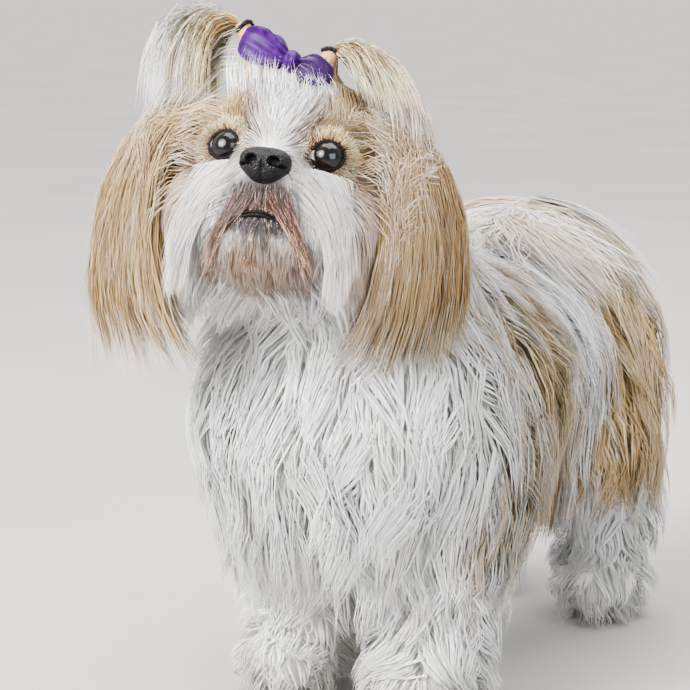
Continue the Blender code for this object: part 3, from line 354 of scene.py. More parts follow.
WHITE = rgb(254, 252, 248)
PALE_GREY = rgb(164, 161, 146)
CREAM = rgb(214, 175, 114)
GOLD = rgb(190, 136, 66)
TAN = rgb(116, 84, 50)
PEACH = rgb(212, 148, 92)
CHIN = rgb(142, 98, 66)
MAUVE = rgb(76, 50, 45)
RUST = rgb(98, 52, 36)
BROWN = rgb(46, 28, 20)
DARK = rgb(14, 10, 10)


def blended(base, colour, share):
    return base + (np.asarray(colour) - base) * np.asarray(share)[:, None]


def near_place(points, centre, radii):
    """1 at a place, falling to 0 at its radii."""
    return smooth(1.0, 0.35, np.linalg.norm((points - np.array(centre)) / np.array(radii), axis=1))


def wobble(points, scale, seed):
    """A smooth pseudo-random value in -1 to 1 that varies over the given distance."""
    turns = np.random.default_rng(seed).normal(size=(3, 3)) / scale
    return np.sin(points @ turns[0] + 1.3 * np.sin(points @ turns[1] + 2.1 * np.sin(points @ turns[2])))


def body_colour(points):
    """Markings of the trunk and legs: white front, tan flanks, a white band and a golden rump, with a grey
    strip before the flanks that is a painted shadow of the ear, and greyer towards the paws.
    """
    _, y, z = points.T
    y = y + 0.008 * wobble(points, 0.035, 3)
    colour = np.tile(WHITE, (len(points), 1))
    patch_front = -0.122 + 0.5 * np.clip(z - 0.16, 0, 0.1)
    patch_back = np.interp(z, (0.120, 0.157, 0.185, 0.213, 0.234, 0.255),
                           (0.062, 0.046, 0.020, -0.006, -0.022, -0.034))
    high = smooth(0.112, 0.150, z)
    patch = smooth(patch_front - 0.014, patch_front + 0.014, y)
    patch = patch * smooth(patch_back + 0.009, patch_back - 0.009, y)
    colour = blended(colour, 0.92 * TAN, patch * high * smooth(0.266, 0.250, z))
    # Painted shadow of the ear: a grey strip between the white chest and the tan flank
    colour = blended(colour, PALE_GREY, 0.8 * smooth(-0.13, -0.10, y) * (1 - smooth(-0.09, -0.07, y)) * high)
    rump_front = np.interp(z, (0.10, 0.147, 0.190, 0.233, 0.250), (0.075, 0.063, 0.058, 0.054, 0.040))
    rump = smooth(rump_front - 0.006, rump_front + 0.010, y) * smooth(0.095, 0.125, z)
    colour = blended(colour, 0.55 * GOLD + 0.30 * CREAM + 0.15 * TAN, rump)
    colour = blended(colour, WHITE, 0.6 * smooth(0.226, 0.256, z) * smooth(0.03, 0.06, y))
    # Greyer towards the paws
    colour = blended(colour, PALE_GREY, 0.45 * smooth(0.10, 0.03, z))
    return colour


def mouth_height(x):
    """Height of the mouth's arch beside the middle of the face."""
    return -0.0338 - 14.5 * np.abs(x) ** 1.9


# Patches of the head on both sides, one a painted shadow under the nose: colour, strength, centre and radii
HEAD_SPOTS = (
    (GOLD, 0.55, (0.0260, -0.040, 0.0030), (0.0300, 0.05, 0.0280)),
    (0.75 * TAN, 0.75, (0.0290, -0.040, 0.0055), (0.0200, 0.05, 0.0180)),
    (TAN, 0.85, (0.0165, -0.046, 0.0100), (0.0140, 0.04, 0.0160)),
    (MAUVE, 0.95, (0.0145, -0.046, 0.0035), (0.0110, 0.03, 0.0140)),
    (DARK, 0.90, (0.0270, -0.040, -0.0085), (0.0160, 0.02, 0.0070)),
    (BROWN, 0.80, (0.0375, -0.034, -0.0030), (0.0070, 0.02, 0.0110)),
    (MAUVE, 1.00, (0.0, -0.058, -0.0290), (0.0290, 0.03, 0.0180)),
    # Painted shadow under the nose
    (DARK, 0.85, (0.0, -0.060, -0.0190), (0.0230, 0.04, 0.0115)),
    (CHIN, 1.00, (0.0, -0.052, -0.0630), (0.0380, 0.05, 0.0270)),
    (RUST, 0.80, (0.0235, -0.045, -0.0590), (0.0120, 0.03, 0.0230)),
)


def head_colour(points):
    """Markings of the head, with a painted shadow under the nose, in head-local metres."""
    x, y, z = points.T
    side = np.stack([np.abs(x), y, z], axis=1)
    blaze = np.interp(z, (-0.01, 0.0, 0.015, 0.035), (0.009, 0.009, 0.012, 0.024))
    colour = np.tile(WHITE, (len(points), 1))
    brow = smooth(-0.003, 0.009, side[:, 0] - blaze) * smooth(-0.004, 0.004, z)
    colour = blended(colour, CREAM, brow)
    cheek = 0.65 * smooth(0.028, 0.038, side[:, 0]) * smooth(-0.058, -0.034, z) * smooth(0.014, 0, z)
    colour = blended(colour, PEACH, cheek)
    colour = blended(colour, GOLD, 0.7 * smooth(0.0, 0.030, y) * smooth(-0.030, -0.005, z))
    for shade, share, centre, radii in HEAD_SPOTS:
        colour = blended(colour, shade, share * near_place(side, centre, radii))
    lip_line = smooth(0.0070, 0.0020, np.abs(z - mouth_height(x))) * smooth(0.030, 0.024, side[:, 0])
    colour = blended(colour, BROWN, 0.85 * lip_line * (y < -0.020))
    lower_lip = near_place(side, (0.0, -0.055, -0.0400), (0.0240, 0.04, 0.0095))
    return blended(colour, rgb(34, 30, 32), lower_lip)


def markings_and_painted_shade(points):
    """The coat's colour at places on the head, neck, trunk and legs, with painted shadows of the ear and
    under the nose.
    """
    local = to_head(points)
    return blended(body_colour(points), head_colour(local), head_share(local))


# Materials
def material(name, roughness=0.5, specular=0.4, **sockets):
    """A Principled material with its constant values on its own sockets."""
    made = bpy.data.materials.new(name)
    made.use_nodes = True
    shader = made.node_tree.nodes["Principled BSDF"]
    shader.inputs["Roughness"].default_value = roughness
    shader.inputs["Specular IOR Level"].default_value = specular
    for key, value in sockets.items():
        shader.inputs[key.replace("_", " ")].default_value = value
    return made


def add_node(made, kind, **values):
    node = made.node_tree.nodes.new(kind)
    for key, value in values.items():
        if key in node.inputs:
            node.inputs[key].default_value = value
        else:
            setattr(node, key, value)
    return node


def join_nodes(made, source, target):
    made.node_tree.links.new(source, target)


def noise_of(made, scale, detail=3.0, stretch=(1, 1, 1)):
    """A noise over the object's own coordinates."""
    place = add_node(made, "ShaderNodeTexCoord")
    mapping = add_node(made, "ShaderNodeMapping", Scale=stretch)
    noise = add_node(made, "ShaderNodeTexNoise", Scale=scale, Detail=detail)
    join_nodes(made, place.outputs["Object"], mapping.inputs["Vector"])
    join_nodes(made, mapping.outputs["Vector"], noise.inputs["Vector"])
    return noise.outputs["Fac"]


def add_bump(made, height, strength, distance):
    bump = add_node(made, "ShaderNodeBump", Strength=strength, Distance=distance)
    join_nodes(made, height, bump.inputs["Height"])
    join_nodes(made, bump.outputs["Normal"], made.node_tree.nodes["Principled BSDF"].inputs["Normal"])


def tint_by_noise(made, fac, dark, light, attribute=None, colours=None):
    """Base colour: an attribute or a colour pair, varied by a noise."""
    shade = add_node(made, "ShaderNodeMapRange")
    shade.inputs["From Min"].default_value = 0.3
    shade.inputs["From Max"].default_value = 0.7
    shade.inputs["To Min"].default_value = dark
    shade.inputs["To Max"].default_value = light
    join_nodes(made, fac, shade.inputs["Value"])
    mix = add_node(made, "ShaderNodeMix", data_type="RGBA")
    if attribute:
        source = add_node(made, "ShaderNodeAttribute", attribute_name=attribute)
        mix.blend_type = "MULTIPLY"
        mix.inputs["Factor"].default_value = 1.0
        join_nodes(made, source.outputs["Color"], mix.inputs["A"])
        join_nodes(made, shade.outputs["Result"], mix.inputs["B"])
    else:
        for socket, colour in zip(("A", "B"), colours):
            mix.inputs[socket].default_value = (*colour, 1)
        join_nodes(made, shade.outputs["Result"], mix.inputs["Factor"])
    join_nodes(made, mix.outputs["Result"], made.node_tree.nodes["Principled BSDF"].inputs["Base Color"])


def hair_material():
    made = material("coat_hair", 0.55, 0.22, Subsurface_Weight=0.6, Subsurface_Scale=0.007)
    made.node_tree.nodes["Principled BSDF"].inputs["Subsurface Radius"].default_value = (1.0, 0.85, 0.7)
    tint_by_noise(made, noise_of(made, 420.0), 0.90, 1.04, attribute="tint")
    return made


def skin_material():
    made = material("coat_underfur_painted_shade", 0.7, 0.25, Sheen_Weight=0.2)
    fac = noise_of(made, 900.0, stretch=(1, 1, 0.25))
    # The noise varies the skin's tone at random and keeps it darker than the coat's colours, as painted shade
    # between the hairs over it
    tint_by_noise(made, fac, 0.80, 0.98, attribute="tint")
    add_bump(made, fac, 0.5, 0.0008)
    return made


HAIR = hair_material()
UNDERFUR_PAINTED_SHADE = skin_material()


def set_tint(mesh, colours):
    attribute = mesh.color_attributes.new("tint", "FLOAT_COLOR", "POINT")
    values = np.ones((len(mesh.vertices), 4), np.float32)
    values[:, :3] = np.clip(colours, 0, 1)
    attribute.data.foreach_set("color", values.ravel())


# Skin
PLATE = (12, 16)


def plate_shares(count=PLATE):
    """The two shares of each point of a plate's sheets."""
    shares = [np.linspace(0, 1, n) for n in count]
    return (grid.ravel() for grid in np.meshgrid(*shares, indexing="ij"))


def plate_mesh(name, outer, inner, count=PLATE):
    """A thin closed plate between two sheets of points over the same shares."""
    points = np.concatenate([outer, inner])
    size = count[0] * count[1]
    faces = []
    for i in range(count[0] - 1):
        for j in range(count[1] - 1):
            a = i * count[1] + j
            quad = (a, a + 1, a + count[1] + 1, a + count[1])
            faces += [quad, tuple(size + v for v in reversed(quad))]
    edge = [i * count[1] for i in range(count[0])]
    edge += [(count[0] - 1) * count[1] + j for j in range(1, count[1])]
    edge += [i * count[1] + count[1] - 1 for i in range(count[0] - 2, -1, -1)]
    edge += list(range(count[1] - 2, 0, -1))
    for a, b in zip(edge, edge[1:] + edge[:1]):
        faces.append((a, b, size + b, size + a))
    return mesh_of(name, points, faces)


def flesh_mesh():
    """The skin of head, trunk and legs, remeshed finely and settled on the field's skin level."""
    bm = bmesh.new()
    for form in FLESH:
        if form["kind"] == "ball":
            place = Matrix.Translation(Vector(form["centre"])) @ Matrix.Diagonal((*form["radii"], 1))
            place = HEAD @ place if form["head"] else place
            bmesh.ops.create_icosphere(bm, subdivisions=4, radius=0.93, matrix=place)
            continue
        for share in np.linspace(0, 1, 7):
            centre = Vector(form["start"]).lerp(Vector(form["end"]), share)
            radius = form["r0"] + (form["r1"] - form["r0"]) * share - 0.004
            bmesh.ops.create_icosphere(bm, subdivisions=4, radius=radius, matrix=Matrix.Translation(centre))
    mesh = bpy.data.meshes.new("flesh")
    bm.to_mesh(mesh)
    bm.free()
    source = bpy.data.objects.new("flesh", mesh)
    bpy.context.scene.collection.objects.link(source)
    remesh = source.modifiers.new("voxels", "REMESH")
    remesh.mode = "VOXEL"
    remesh.voxel_size = 0.0030
    graph = bpy.context.evaluated_depsgraph_get()
    graph.update()
    made = bpy.data.meshes.new_from_object(source.evaluated_get(graph))
    bpy.data.objects.remove(source)
    bpy.data.meshes.remove(mesh)
    points = np.empty(len(made.vertices) * 3)
    made.vertices.foreach_get("co", points)
    points = points.reshape(-1, 3)
    for _ in range(4):
        points += slope(points) * np.clip(skin_level(points) - field(points), -0.004, 0.004)[:, None]
    points[:, 2] = np.maximum(points[:, 2], 0.0015)
    made.vertices.foreach_set("co", points.ravel())
    made.update()
    return made


def skin_piece():
    """One skin under the whole coat: flesh, ears, topknot cores and tail, with each part's colour."""
    meshes, looks = [flesh_mesh()], [None]
    for side in (1, -1):
        along, fall = plate_shares()
        place = (side, 0.05 + 0.90 * along, 0.88 * fall)
        sheet, normal = ear_sheet(*place), ear_normal(*place)
        meshes.append(plate_mesh("ear", sheet - 0.0020 * normal, sheet - 0.0045 * normal))
        looks.append(GOLD)
        stem = np.linspace(np.array(CROWN[side]), np.array(BAND[side]), 5)
        meshes.append(tube_mesh("stem", placed(HEAD, stem), (0.013, 0.0096, 0.0070, 0.0052, 0.0040)))
        looks.append(PEACH)
        spread, drop = 0.15 + 0.7 * along, 0.04 + 0.86 * fall
        front, back = (plume_point(side, spread, depth, drop) for depth in (-0.25, 0.25))
        meshes.append(plate_mesh("plume", front, back))
        looks.append(CREAM)
    shares = np.linspace(0, 1, 15)
    meshes.append(tube_mesh("tail", tail_curve(0.90 * shares), 0.0075 - 0.0060 * shares))
    looks.append(CREAM)
    bm = bmesh.new()
    for mesh in meshes:
        bm.from_mesh(mesh)
    skin = bpy.data.meshes.new("skin")
    bm.to_mesh(skin)
    bm.free()
    points = np.empty(len(skin.vertices) * 3)
    skin.vertices.foreach_get("co", points)
    points = points.reshape(-1, 3)
    tints = markings_and_painted_shade(points)
    start = 0
    for mesh, look in zip(meshes, looks):
        end = start + len(mesh.vertices)
        if look is not None:
            tints[start:end] = look
        start = end
        bpy.data.meshes.remove(mesh)
    smooth_shading(skin)
    set_tint(skin, tints)
    return skin, points


def unwrap(obj):
    """Charts of the skin's own shape, packed without overlap."""
    obj.data.uv_layers.new(name="OFBake")
    bpy.context.view_layer.objects.active = obj
    obj.select_set(True)
    bpy.ops.object.mode_set(mode="EDIT")
    bpy.ops.mesh.select_all(action="SELECT")
    bpy.ops.uv.smart_project(angle_limit=math.radians(66), island_margin=0.002)
    bpy.ops.object.mode_set(mode="OBJECT")
    obj.select_set(False)


SKIN_MESH, SKIN_POINTS = skin_piece()
SKIN = new_piece("skin", SKIN_MESH, UNDERFUR_PAINTED_SHADE)
unwrap(SKIN)
HAIR_NODES = ("head", "muzzle", "lower_jaw", "neck", "chest", "torso", "rump", "tail",
              "ear_left", "ear_right", "topknot_left", "topknot_right",
              "leg_front_left", "leg_front_right", "leg_hind_left", "leg_hind_right")
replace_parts(SKIN, *HAIR_NODES)


# Coat: closed tapered tufts of hair, three-sided, combed over the flesh
SKIN_TREE = BVHTree.FromPolygons([tuple(p) for p in SKIN_POINTS],
                                 [tuple(f.vertices) for f in SKIN_MESH.polygons])
SKIN_UV = np.empty(len(SKIN_MESH.loops) * 2)
SKIN_MESH.uv_layers["OFBake"].data.foreach_get("uv", SKIN_UV)
SKIN_UV = SKIN_UV.reshape(-1, 2)
PATCH = 0.003
MOST_TRIANGLES = 190000
# Share of the body's own normals in a tuft's, its depth over its width, and the painted shade at its root,
# where the hairs shade each other
SOFTNESS = 0.85
THICKNESS = 0.20
ROOT_PAINTED_SHADE = 0.93
# Tufts of each part of the coat, and for one side where the part is paired
TUFTS = {"face": 20000, "moustache": 1500, "rim": 600, "ear": 3500, "temple": 1500,
         "topknot": 1700, "gather": 1500, "wisps": 190, "tail": 3300}
SIDES = (("left", 1), ("right", -1))


def root_patches(roots):
    """Where each root lies on the skin's unwrap."""
    found = np.empty((len(roots), 2))
    for k, root in enumerate(roots):
        hit, _, index, _ = SKIN_TREE.find_nearest(Vector(root))
        face = SKIN_MESH.polygons[index]
        corners = SKIN_POINTS[list(face.vertices)]
        nearness = 1 / (np.linalg.norm(corners - np.array(hit), axis=1) + 1e-5)
        span = slice(face.loop_start, face.loop_start + face.loop_total)
        found[k] = nearness @ SKIN_UV[span] / nearness.sum()
    return np.clip(found, PATCH, 1 - PATCH)


def tuft_template(rings):
    """Faces of one tuft, with each corner's share around and along it for its patch."""
    faces, corners = [], []
    for k in range(rings - 1):
        low, high = k / rings, (k + 1) / rings
        for m in range(3):
            a, b = 3 * k + m, 3 * k + (m + 1) % 3
            u, v = m / 3, (m + 1) / 3
            faces += [(a, b, b + 3), (a, b + 3, a + 3)]
            corners += [((u, low), (v, low), (v, high)), ((u, low), (v, high), (u, high))]
    last, tip = 3 * (rings - 1), 3 * rings
    for m in range(3):
        faces.append((last + m, last + (m + 1) % 3, tip))
        corners.append(((m / 3, 1 - 1 / rings), ((m + 1) / 3, 1 - 1 / rings), ((m + 0.5) / 3, 1)))
    faces.append((2, 1, 0))
    corners.append(((1, 0), (0.5, 0), (0, 0)))
    return np.array(faces)[:, ::-1], np.array(corners)[:, ::-1]


def coat_piece(name, paths, widths, colours, tip_colours=None, facing=None, blunt=0.0):
    """Builds tufts along paths (tufts, points, 3) as closed meshes, in pieces of at most MOST_TRIANGLES
    triangles.
    """
    count, points = paths.shape[:2]
    rings = points - 1
    faces, corners = tuft_template(rings)
    tangent = unit(np.gradient(paths, axis=1))
    if facing is None:
        facing = slope(paths[:, points // 2])
    across = unit(np.cross(tangent, facing[:, None, :]))
    outward = np.cross(across, tangent)
    share = np.linspace(0, 1, points)
    taper = np.minimum(0.55 + 1.6 * share, 1.0) * (1 - share ** (2.0 + 4.0 * blunt)) ** 0.8
    width = (widths[:, None] * taper[None])[:, :rings, None]
    sides = np.stack([across[:, :rings], outward[:, :rings], -across[:, :rings]], axis=2)
    ring = paths[:, :rings, None] + sides * width[:, :, None] * np.array((0.5, THICKNESS, 0.5))[:, None]
    vertices = np.concatenate([ring.reshape(count, rings * 3, 3), paths[:, -1:]], axis=1)
    soft = unit(sides * (1 - SOFTNESS) + facing[:, None, None, :] * SOFTNESS).reshape(count, rings * 3, 3)
    normals = np.concatenate([soft, facing[:, None]], axis=1)
    tips = colours if tip_colours is None else tip_colours
    fade = np.append(np.repeat(share[:rings], 3), 1.0)[None, :, None]
    tints = colours[:, None] * (1 - fade) + tips[:, None] * fade
    # Painted shade: each tuft is darker at its root, where the hairs over it shade it
    tints = tints * (ROOT_PAINTED_SHADE + (1 - ROOT_PAINTED_SHADE) * np.minimum(fade * 2.2, 1))
    grain = np.random.default_rng(SEED).normal(1, 0.06, (count, 3))
    tints[:, :-1] *= np.tile(grain, (1, rings))[:, :, None]
    patches = root_patches(paths[:, 0])
    uvs = patches[:, None, None] + PATCH * (corners[None] - 0.5)
    most = MOST_TRIANGLES // len(faces)
    for part, start in enumerate(range(0, count, most)):
        chosen = slice(start, min(start + most, count))
        held = chosen.stop - start
        mesh = bpy.data.meshes.new(name)
        mesh.vertices.add(held * vertices.shape[1])
        mesh.vertices.foreach_set("co", vertices[chosen].astype(np.float32).ravel())
        index = faces[None] + (np.arange(held) * vertices.shape[1])[:, None, None]
        mesh.loops.add(index.size)
        mesh.loops.foreach_set("vertex_index", index.astype(np.int32).ravel())
        mesh.polygons.add(held * len(faces))
        mesh.polygons.foreach_set("loop_start", np.arange(held * len(faces), dtype=np.int32) * 3)
        mesh.uv_layers.new(name="OFBake").data.foreach_set("uv", uvs[chosen].astype(np.float32).ravel())
        set_tint(mesh, tints[chosen].reshape(-1, 3))
        smooth_shading(mesh)
        mesh.validate()
        mesh.normals_split_custom_set_from_vertices(normals[chosen].reshape(-1, 3))
        new_piece(f"{name}_{part + 1}", mesh, HAIR)


def scatter(count, density, rng):
    """Roots spread over the skin, by area and by a density at each place."""
    SKIN_MESH.calc_loop_triangles()
    triangles = np.empty(len(SKIN_MESH.loop_triangles) * 3, np.int32)
    SKIN_MESH.loop_triangles.foreach_get("vertices", triangles)
    corners = SKIN_POINTS[triangles.reshape(-1, 3)]
    area = np.linalg.norm(np.cross(corners[:, 1] - corners[:, 0], corners[:, 2] - corners[:, 0]), axis=1)
    weight = area * density(corners.mean(axis=1))
    chosen = np.sort(rng.choice(len(weight), size=count, p=weight / weight.sum()))
    a, b = rng.random(count), rng.random(count)
    a, b = np.where(a + b > 1, 1 - a, a), np.where(a + b > 1, 1 - b, b)
    corner = corners[chosen]
    origin = corner[:, 0]
    return origin + a[:, None] * (corner[:, 1] - origin) + b[:, None] * (corner[:, 2] - origin)


def locks_of(places, rng, share):
    """Sorts hairs into locks: the lock of each hair, and the hair that leads each lock."""
    guides = rng.choice(len(places), size=max(1, int(len(places) * share)), replace=False)
    tree = KDTree(len(guides))
    for k, guide in enumerate(guides):
        tree.insert(Vector(places[guide]), k)
    tree.balance()
    return np.array([tree.find(Vector(p))[1] for p in places]), guides


def comb(roots, heading, lengths, levels, points, turns=0.0, droop=0.5, leave=0.0):
    """Paths from the roots: out to their layer, along the flesh by the heading, free where it turns under."""
    here = roots.copy()
    paths = [here.copy()]
    base = field(roots)
    step = (lengths / (points - 1))[:, None]
    turns = np.broadcast_to(turns, len(roots))[:, None]
    for k in range(1, points):
        share = k / (points - 1)
        normal = slope(here)
        way = unit(heading(here, share) + np.array((0, 0, -droop)) * share)
        way = way * np.cos(turns) + np.cross(normal, way) * np.sin(turns)
        facing = np.sum(way * normal, axis=1)
        under = smooth(-0.15, -0.65, normal[:, 2])
        cling = (1 - under) * (1 - leave * share)
        way = unit(way - normal * (facing * np.where(facing < 0, 1.0, cling))[:, None])
        here = here + way * step
        gap = base + (levels - base) * smooth(0, 0.55, share) - field(here)
        push = np.where(gap > 0, gap, gap * cling * 0.8)
        here += slope(here) * np.clip(push, -0.5 * step[:, 0], step[:, 0])[:, None]
        here[:, 2] = np.maximum(here[:, 2], 0.0015)
        paths.append(here.copy())
    return np.stack(paths, axis=1)


def drawn(paths, groups, guides, strength, power=1.4):
    """Draws the hairs of each lock towards its leading hair, more at the tips, at their own length."""
    pull = strength * np.linspace(0, 1, paths.shape[1]) ** power
    lead = paths[guides[groups]]
    spans = np.linalg.norm(np.diff(paths, axis=1), axis=2).sum(axis=1)
    ratio = np.clip(spans / spans[guides[groups]], 0.2, 1.5)[:, None, None]
    goal = lead[:, :1] + (lead - lead[:, :1]) * ratio
    return paths + (goal - paths) * pull[None, :, None]


def waved(paths, groups, rng, reach, length, own=0.25):
    """Gives each lock its own soft wave."""
    count, points = paths.shape[:2]
    locks = groups.max() + 1
    along = np.linspace(0, 1, points)
    tangent = unit(np.gradient(paths, axis=1))
    normal = slope(paths[:, points // 2])[:, None, :]
    sideways = unit(np.cross(tangent, normal))
    spans = np.linalg.norm(np.diff(paths, axis=1), axis=2).sum(axis=1)
    phase = rng.random(locks)[groups] * 2 * math.pi + own * rng.normal(size=count)
    swing = reach * np.clip(rng.normal(1.0, 0.4, locks), 0.2, 2.2)[groups]
    cycle = length * rng.uniform(0.8, 1.4, locks)[groups]
    turns = along[None] * (spans / cycle * 2 * math.pi)[:, None] + phase[:, None]
    swing = swing[:, None] * np.minimum(along * 1.8, 1)[None]
    moved = paths + sideways * (np.sin(turns) * swing)[:, :, None]
    return moved + normal * (np.cos(turns * 0.8 + 1.0) * swing * 0.3)[:, :, None]


def varied(colours, rng, spread, groups=None, group_spread=0.0):
    """Colours with each tuft, and each lock, a little lighter or darker."""
    factor = rng.normal(1, spread, len(colours))
    if groups is not None:
        factor = factor * rng.normal(1, group_spread, groups.max() + 1)[groups]
    return colours * np.clip(factor, 0.5, 1.35)[:, None]


def streaked(colours, rng, amount, streak, groups=None):
    """Some tufts, or some whole locks, take another colour, as darker hairs in a tan coat do."""
    draw = rng.random(len(colours)) if groups is None else rng.random(groups.max() + 1)[groups]
    share = np.where(draw < amount, rng.uniform(0.3, 0.9, len(colours)), 0)
    return blended(colours, streak, share)


def body_heading(points, share):
    x, y, z = points.T
    out = np.sign(x) * smooth(0.20, 0.25, z) * 0.9
    back = 0.30 * smooth(-0.10, 0.0, y) * smooth(0.15, 0.08, y)
    back = back + 0.4 * smooth(0.225, 0.255, z) * smooth(0.12, 0.06, y)
    leg = smooth(0.10, 0.06, z)
    front = y < 0.02
    leg_x = np.where(front, FRONT_LEG[0], HIND_LEG[0]) * np.sign(x)
    leg_y = np.where(front, FRONT_LEG[1], HIND_LEG[1])
    flick = leg * (0.12 + 0.45 * share)
    outward = unit(np.stack([x - leg_x, y - leg_y, 0 * z], axis=1)) * flick[:, None]
    return np.stack([out * (1 - leg), back * (1 - leg), -np.ones(len(x))], axis=1) + outward


def body_density(points):
    """Denser on legs and chest; none on the face or where the paws stand."""
    local = to_head(points)
    head = head_share(local) * (1 - smooth(-0.050, -0.058, local[:, 2]) * smooth(-0.040, -0.030, local[:, 1]))
    leg = smooth(0.11, 0.05, points[:, 2])
    chest = smooth(-0.09, -0.13, points[:, 1])
    on_flesh = np.abs(field(points) - skin_level(points)) < 0.002
    return on_flesh * (1 - head) * (1 + 0.9 * leg + 0.7 * chest) * (points[:, 2] > 0.004)


def make_body_layer(rng, name, count, locks_share, reach, breadth, points):
    """One layer of the body's coat: how many tufts, their share of locks, their layer, width and points."""
    roots = scatter(count, body_density, rng)
    height = roots[:, 2]
    groups, guides = locks_of(roots, rng, locks_share)
    locks = len(guides)
    lengths = np.interp(height, (0.14, 0.20, 0.27), (0.076, 0.078, 0.064))
    leg_lengths = np.interp(height, (0.0, 0.02, 0.05, 0.10), (0.008, 0.014, 0.024, 0.030))
    hem = 0.070 + rng.normal(0, 0.006, locks)[groups]
    lengths = np.minimum(lengths, np.maximum(height - hem, leg_lengths))
    throat = smooth(0.100, 0.080, np.linalg.norm(to_head(roots), axis=1)) * smooth(-0.10, -0.14, roots[:, 1])
    lengths = lengths * (1 - 0.50 * throat)
    lengths = lengths * rng.uniform(0.76, 1.12, locks)[groups] * rng.uniform(0.80, 1.06, count)
    depth = np.interp(height, (0, 0.03, 0.09), (0.35, 0.6, 1.0))
    levels = (rng.uniform(*reach, locks)[groups] + rng.uniform(-0.0015, 0.0015, count)) * depth
    turns = rng.normal(0, 0.14, locks)[groups] + rng.normal(0, 0.03, count)
    paths = comb(roots, body_heading, lengths, levels, points, turns)
    paths = drawn(paths, groups, guides, 0.68, 1.2)
    paths = waved(paths, groups, rng, 0.0044, 0.068, 0.10)
    paths[:, :, 2] = np.maximum(paths[:, :, 2], 0.001)
    base = body_colour(roots)
    white = smooth(0.50, 0.75, base[:, 2])[:, None]
    tan = streaked(streaked(streaked(base, rng, 0.20, TAN * 0.6, groups), rng, 0.12, BROWN), rng, 0.26, CREAM)
    pale = streaked(streaked(base, rng, 0.12, PALE_GREY, groups), rng, 0.06, PALE_GREY * 0.75)
    colours = varied(pale * white + tan * (1 - white), rng, 0.04, groups, 0.04)
    widths = rng.uniform(*breadth, count) * np.interp(height, (0.02, 0.08), (0.7, 1.0))
    coat_piece(f"coat_body_{name}", paths, widths, colours, colours * 1.05)


def make_body(rng):
    for name, count, locks_share, low, high, thin, wide in (
            ("under", 7500, 0.10, 0.0005, 0.0070, 0.0018, 0.0027),
            ("coat", 19000, 0.028, 0.0035, 0.0115, 0.0006, 0.0012)):
        make_body_layer(rng, name, count, locks_share, (low, high), (thin, wide), 4 if name == "under" else 6)


def to_band(points):
    """Unit ways towards the band of the nearer topknot."""
    local = to_head(points)
    goal = np.where((local[:, 0] > -0.004)[:, None], np.array(CROWN[1]), np.array(CROWN[-1]))
    return unit(placed(HEAD, goal) - points)


def head_heading(points, share):
    """The lie of the face's hair: out from the nose, up to the bands, down the cheeks and chin."""
    local = to_head(points)
    x, y, z = local.T
    radial = unit(local - np.array((0, -0.046, -0.006)))
    down = np.stack([0.30 * x / 0.03, 0.10 + 0.9 * smooth(-0.052, -0.066, z), -np.ones(len(x))], axis=1)
    outer = np.stack([np.sign(x), 0.1 + 0 * y, -0.25 + 0 * z], axis=1)
    upper = smooth(-0.012, 0.004, z)
    low = smooth(-0.016, -0.042, z)
    back = smooth(0.0, 0.035, y)
    temple = smooth(0.026, 0.040, np.abs(x)) * upper
    way = radial * (1 - low)[:, None] + unit(down) * low[:, None]
    way = way * (1 - temple)[:, None] + unit(outer) * temple[:, None]
    way = way * (1 - back)[:, None] + unit(down) * back[:, None]
    for side in (1, -1):
        eye = np.array((side * EYE_CENTRE[0], EYE_CENTRE[1], EYE_CENTRE[2]))
        close = smooth(0.019, 0.010, eye_offsets(points, side)[1])
        way = way + unit(local - eye) * (1.2 * close)[:, None]
    way = unit(way) @ HEAD_TURN.T
    rise = upper * smooth(0.040, 0.026, np.abs(x)) * smooth(0.010, 0.026, z)
    return way * (1 - rise)[:, None] + to_band(points) * rise[:, None]


def face_density(points):
    local = to_head(points)
    head = head_share(local)
    front = smooth(0.02, -0.03, local[:, 1])
    bare = np.zeros(len(points))
    for side in (1, -1):
        along, beside = eye_offsets(points, side)
        bare = np.maximum(bare, (beside < 0.0092) & (along > -0.006))
    nose = (np.abs(local[:, 0]) < 0.0095) & (np.abs(local[:, 2] + 0.0095) < 0.0060) & (local[:, 1] < -0.050)
    on_flesh = np.abs(field(points) - skin_level(points)) < 0.0025
    return on_flesh * head * (1 + 2.4 * front) * (1 - bare) * (1 - nose)


def face_length(points):
    """Short round the eyes and nose and on lips and chin, long in the moustache and down the cheeks."""
    local = to_head(points)
    x, z = np.abs(local[:, 0]), local[:, 2]
    length = 0.026 + 0.014 * smooth(0.02, 0.04, x) * smooth(-0.01, -0.04, z)
    near_eye = np.minimum(eye_offsets(points, 1)[1], eye_offsets(points, -1)[1])
    near_nose = np.linalg.norm(local - np.array((0, -0.060, -0.011)), axis=1)
    length *= 0.24 + 0.76 * smooth(0.009, 0.024, near_eye)
    length *= 0.30 + 0.70 * smooth(0.012, 0.030, near_nose)
    short = smooth(0.034, 0.027, x) * smooth(-0.020, -0.023, z)
    by_lip = smooth(0.013, 0.004, np.abs(z - mouth_height(x)))
    return length * (1 - short) + (0.0105 - 0.0055 * by_lip) * short


def clear_of(paths, limit=0.0080):
    """Which paths stay off the open eyes and the front of the nose."""
    keep = np.ones(len(paths), bool)
    flat = paths.reshape(-1, 3)
    for side in (1, -1):
        along, beside = eye_offsets(flat, side)
        hit = (beside < limit) & (along > 0.003)
        keep &= ~hit.reshape(paths.shape[:2]).any(axis=1)
    local = to_head(flat)
    hit = (np.abs(local[:, 0]) < 0.0125) & (np.abs(local[:, 2] + 0.0105) < 0.0078) & (local[:, 1] < -0.056)
    return keep & ~hit.reshape(paths.shape[:2]).any(axis=1)


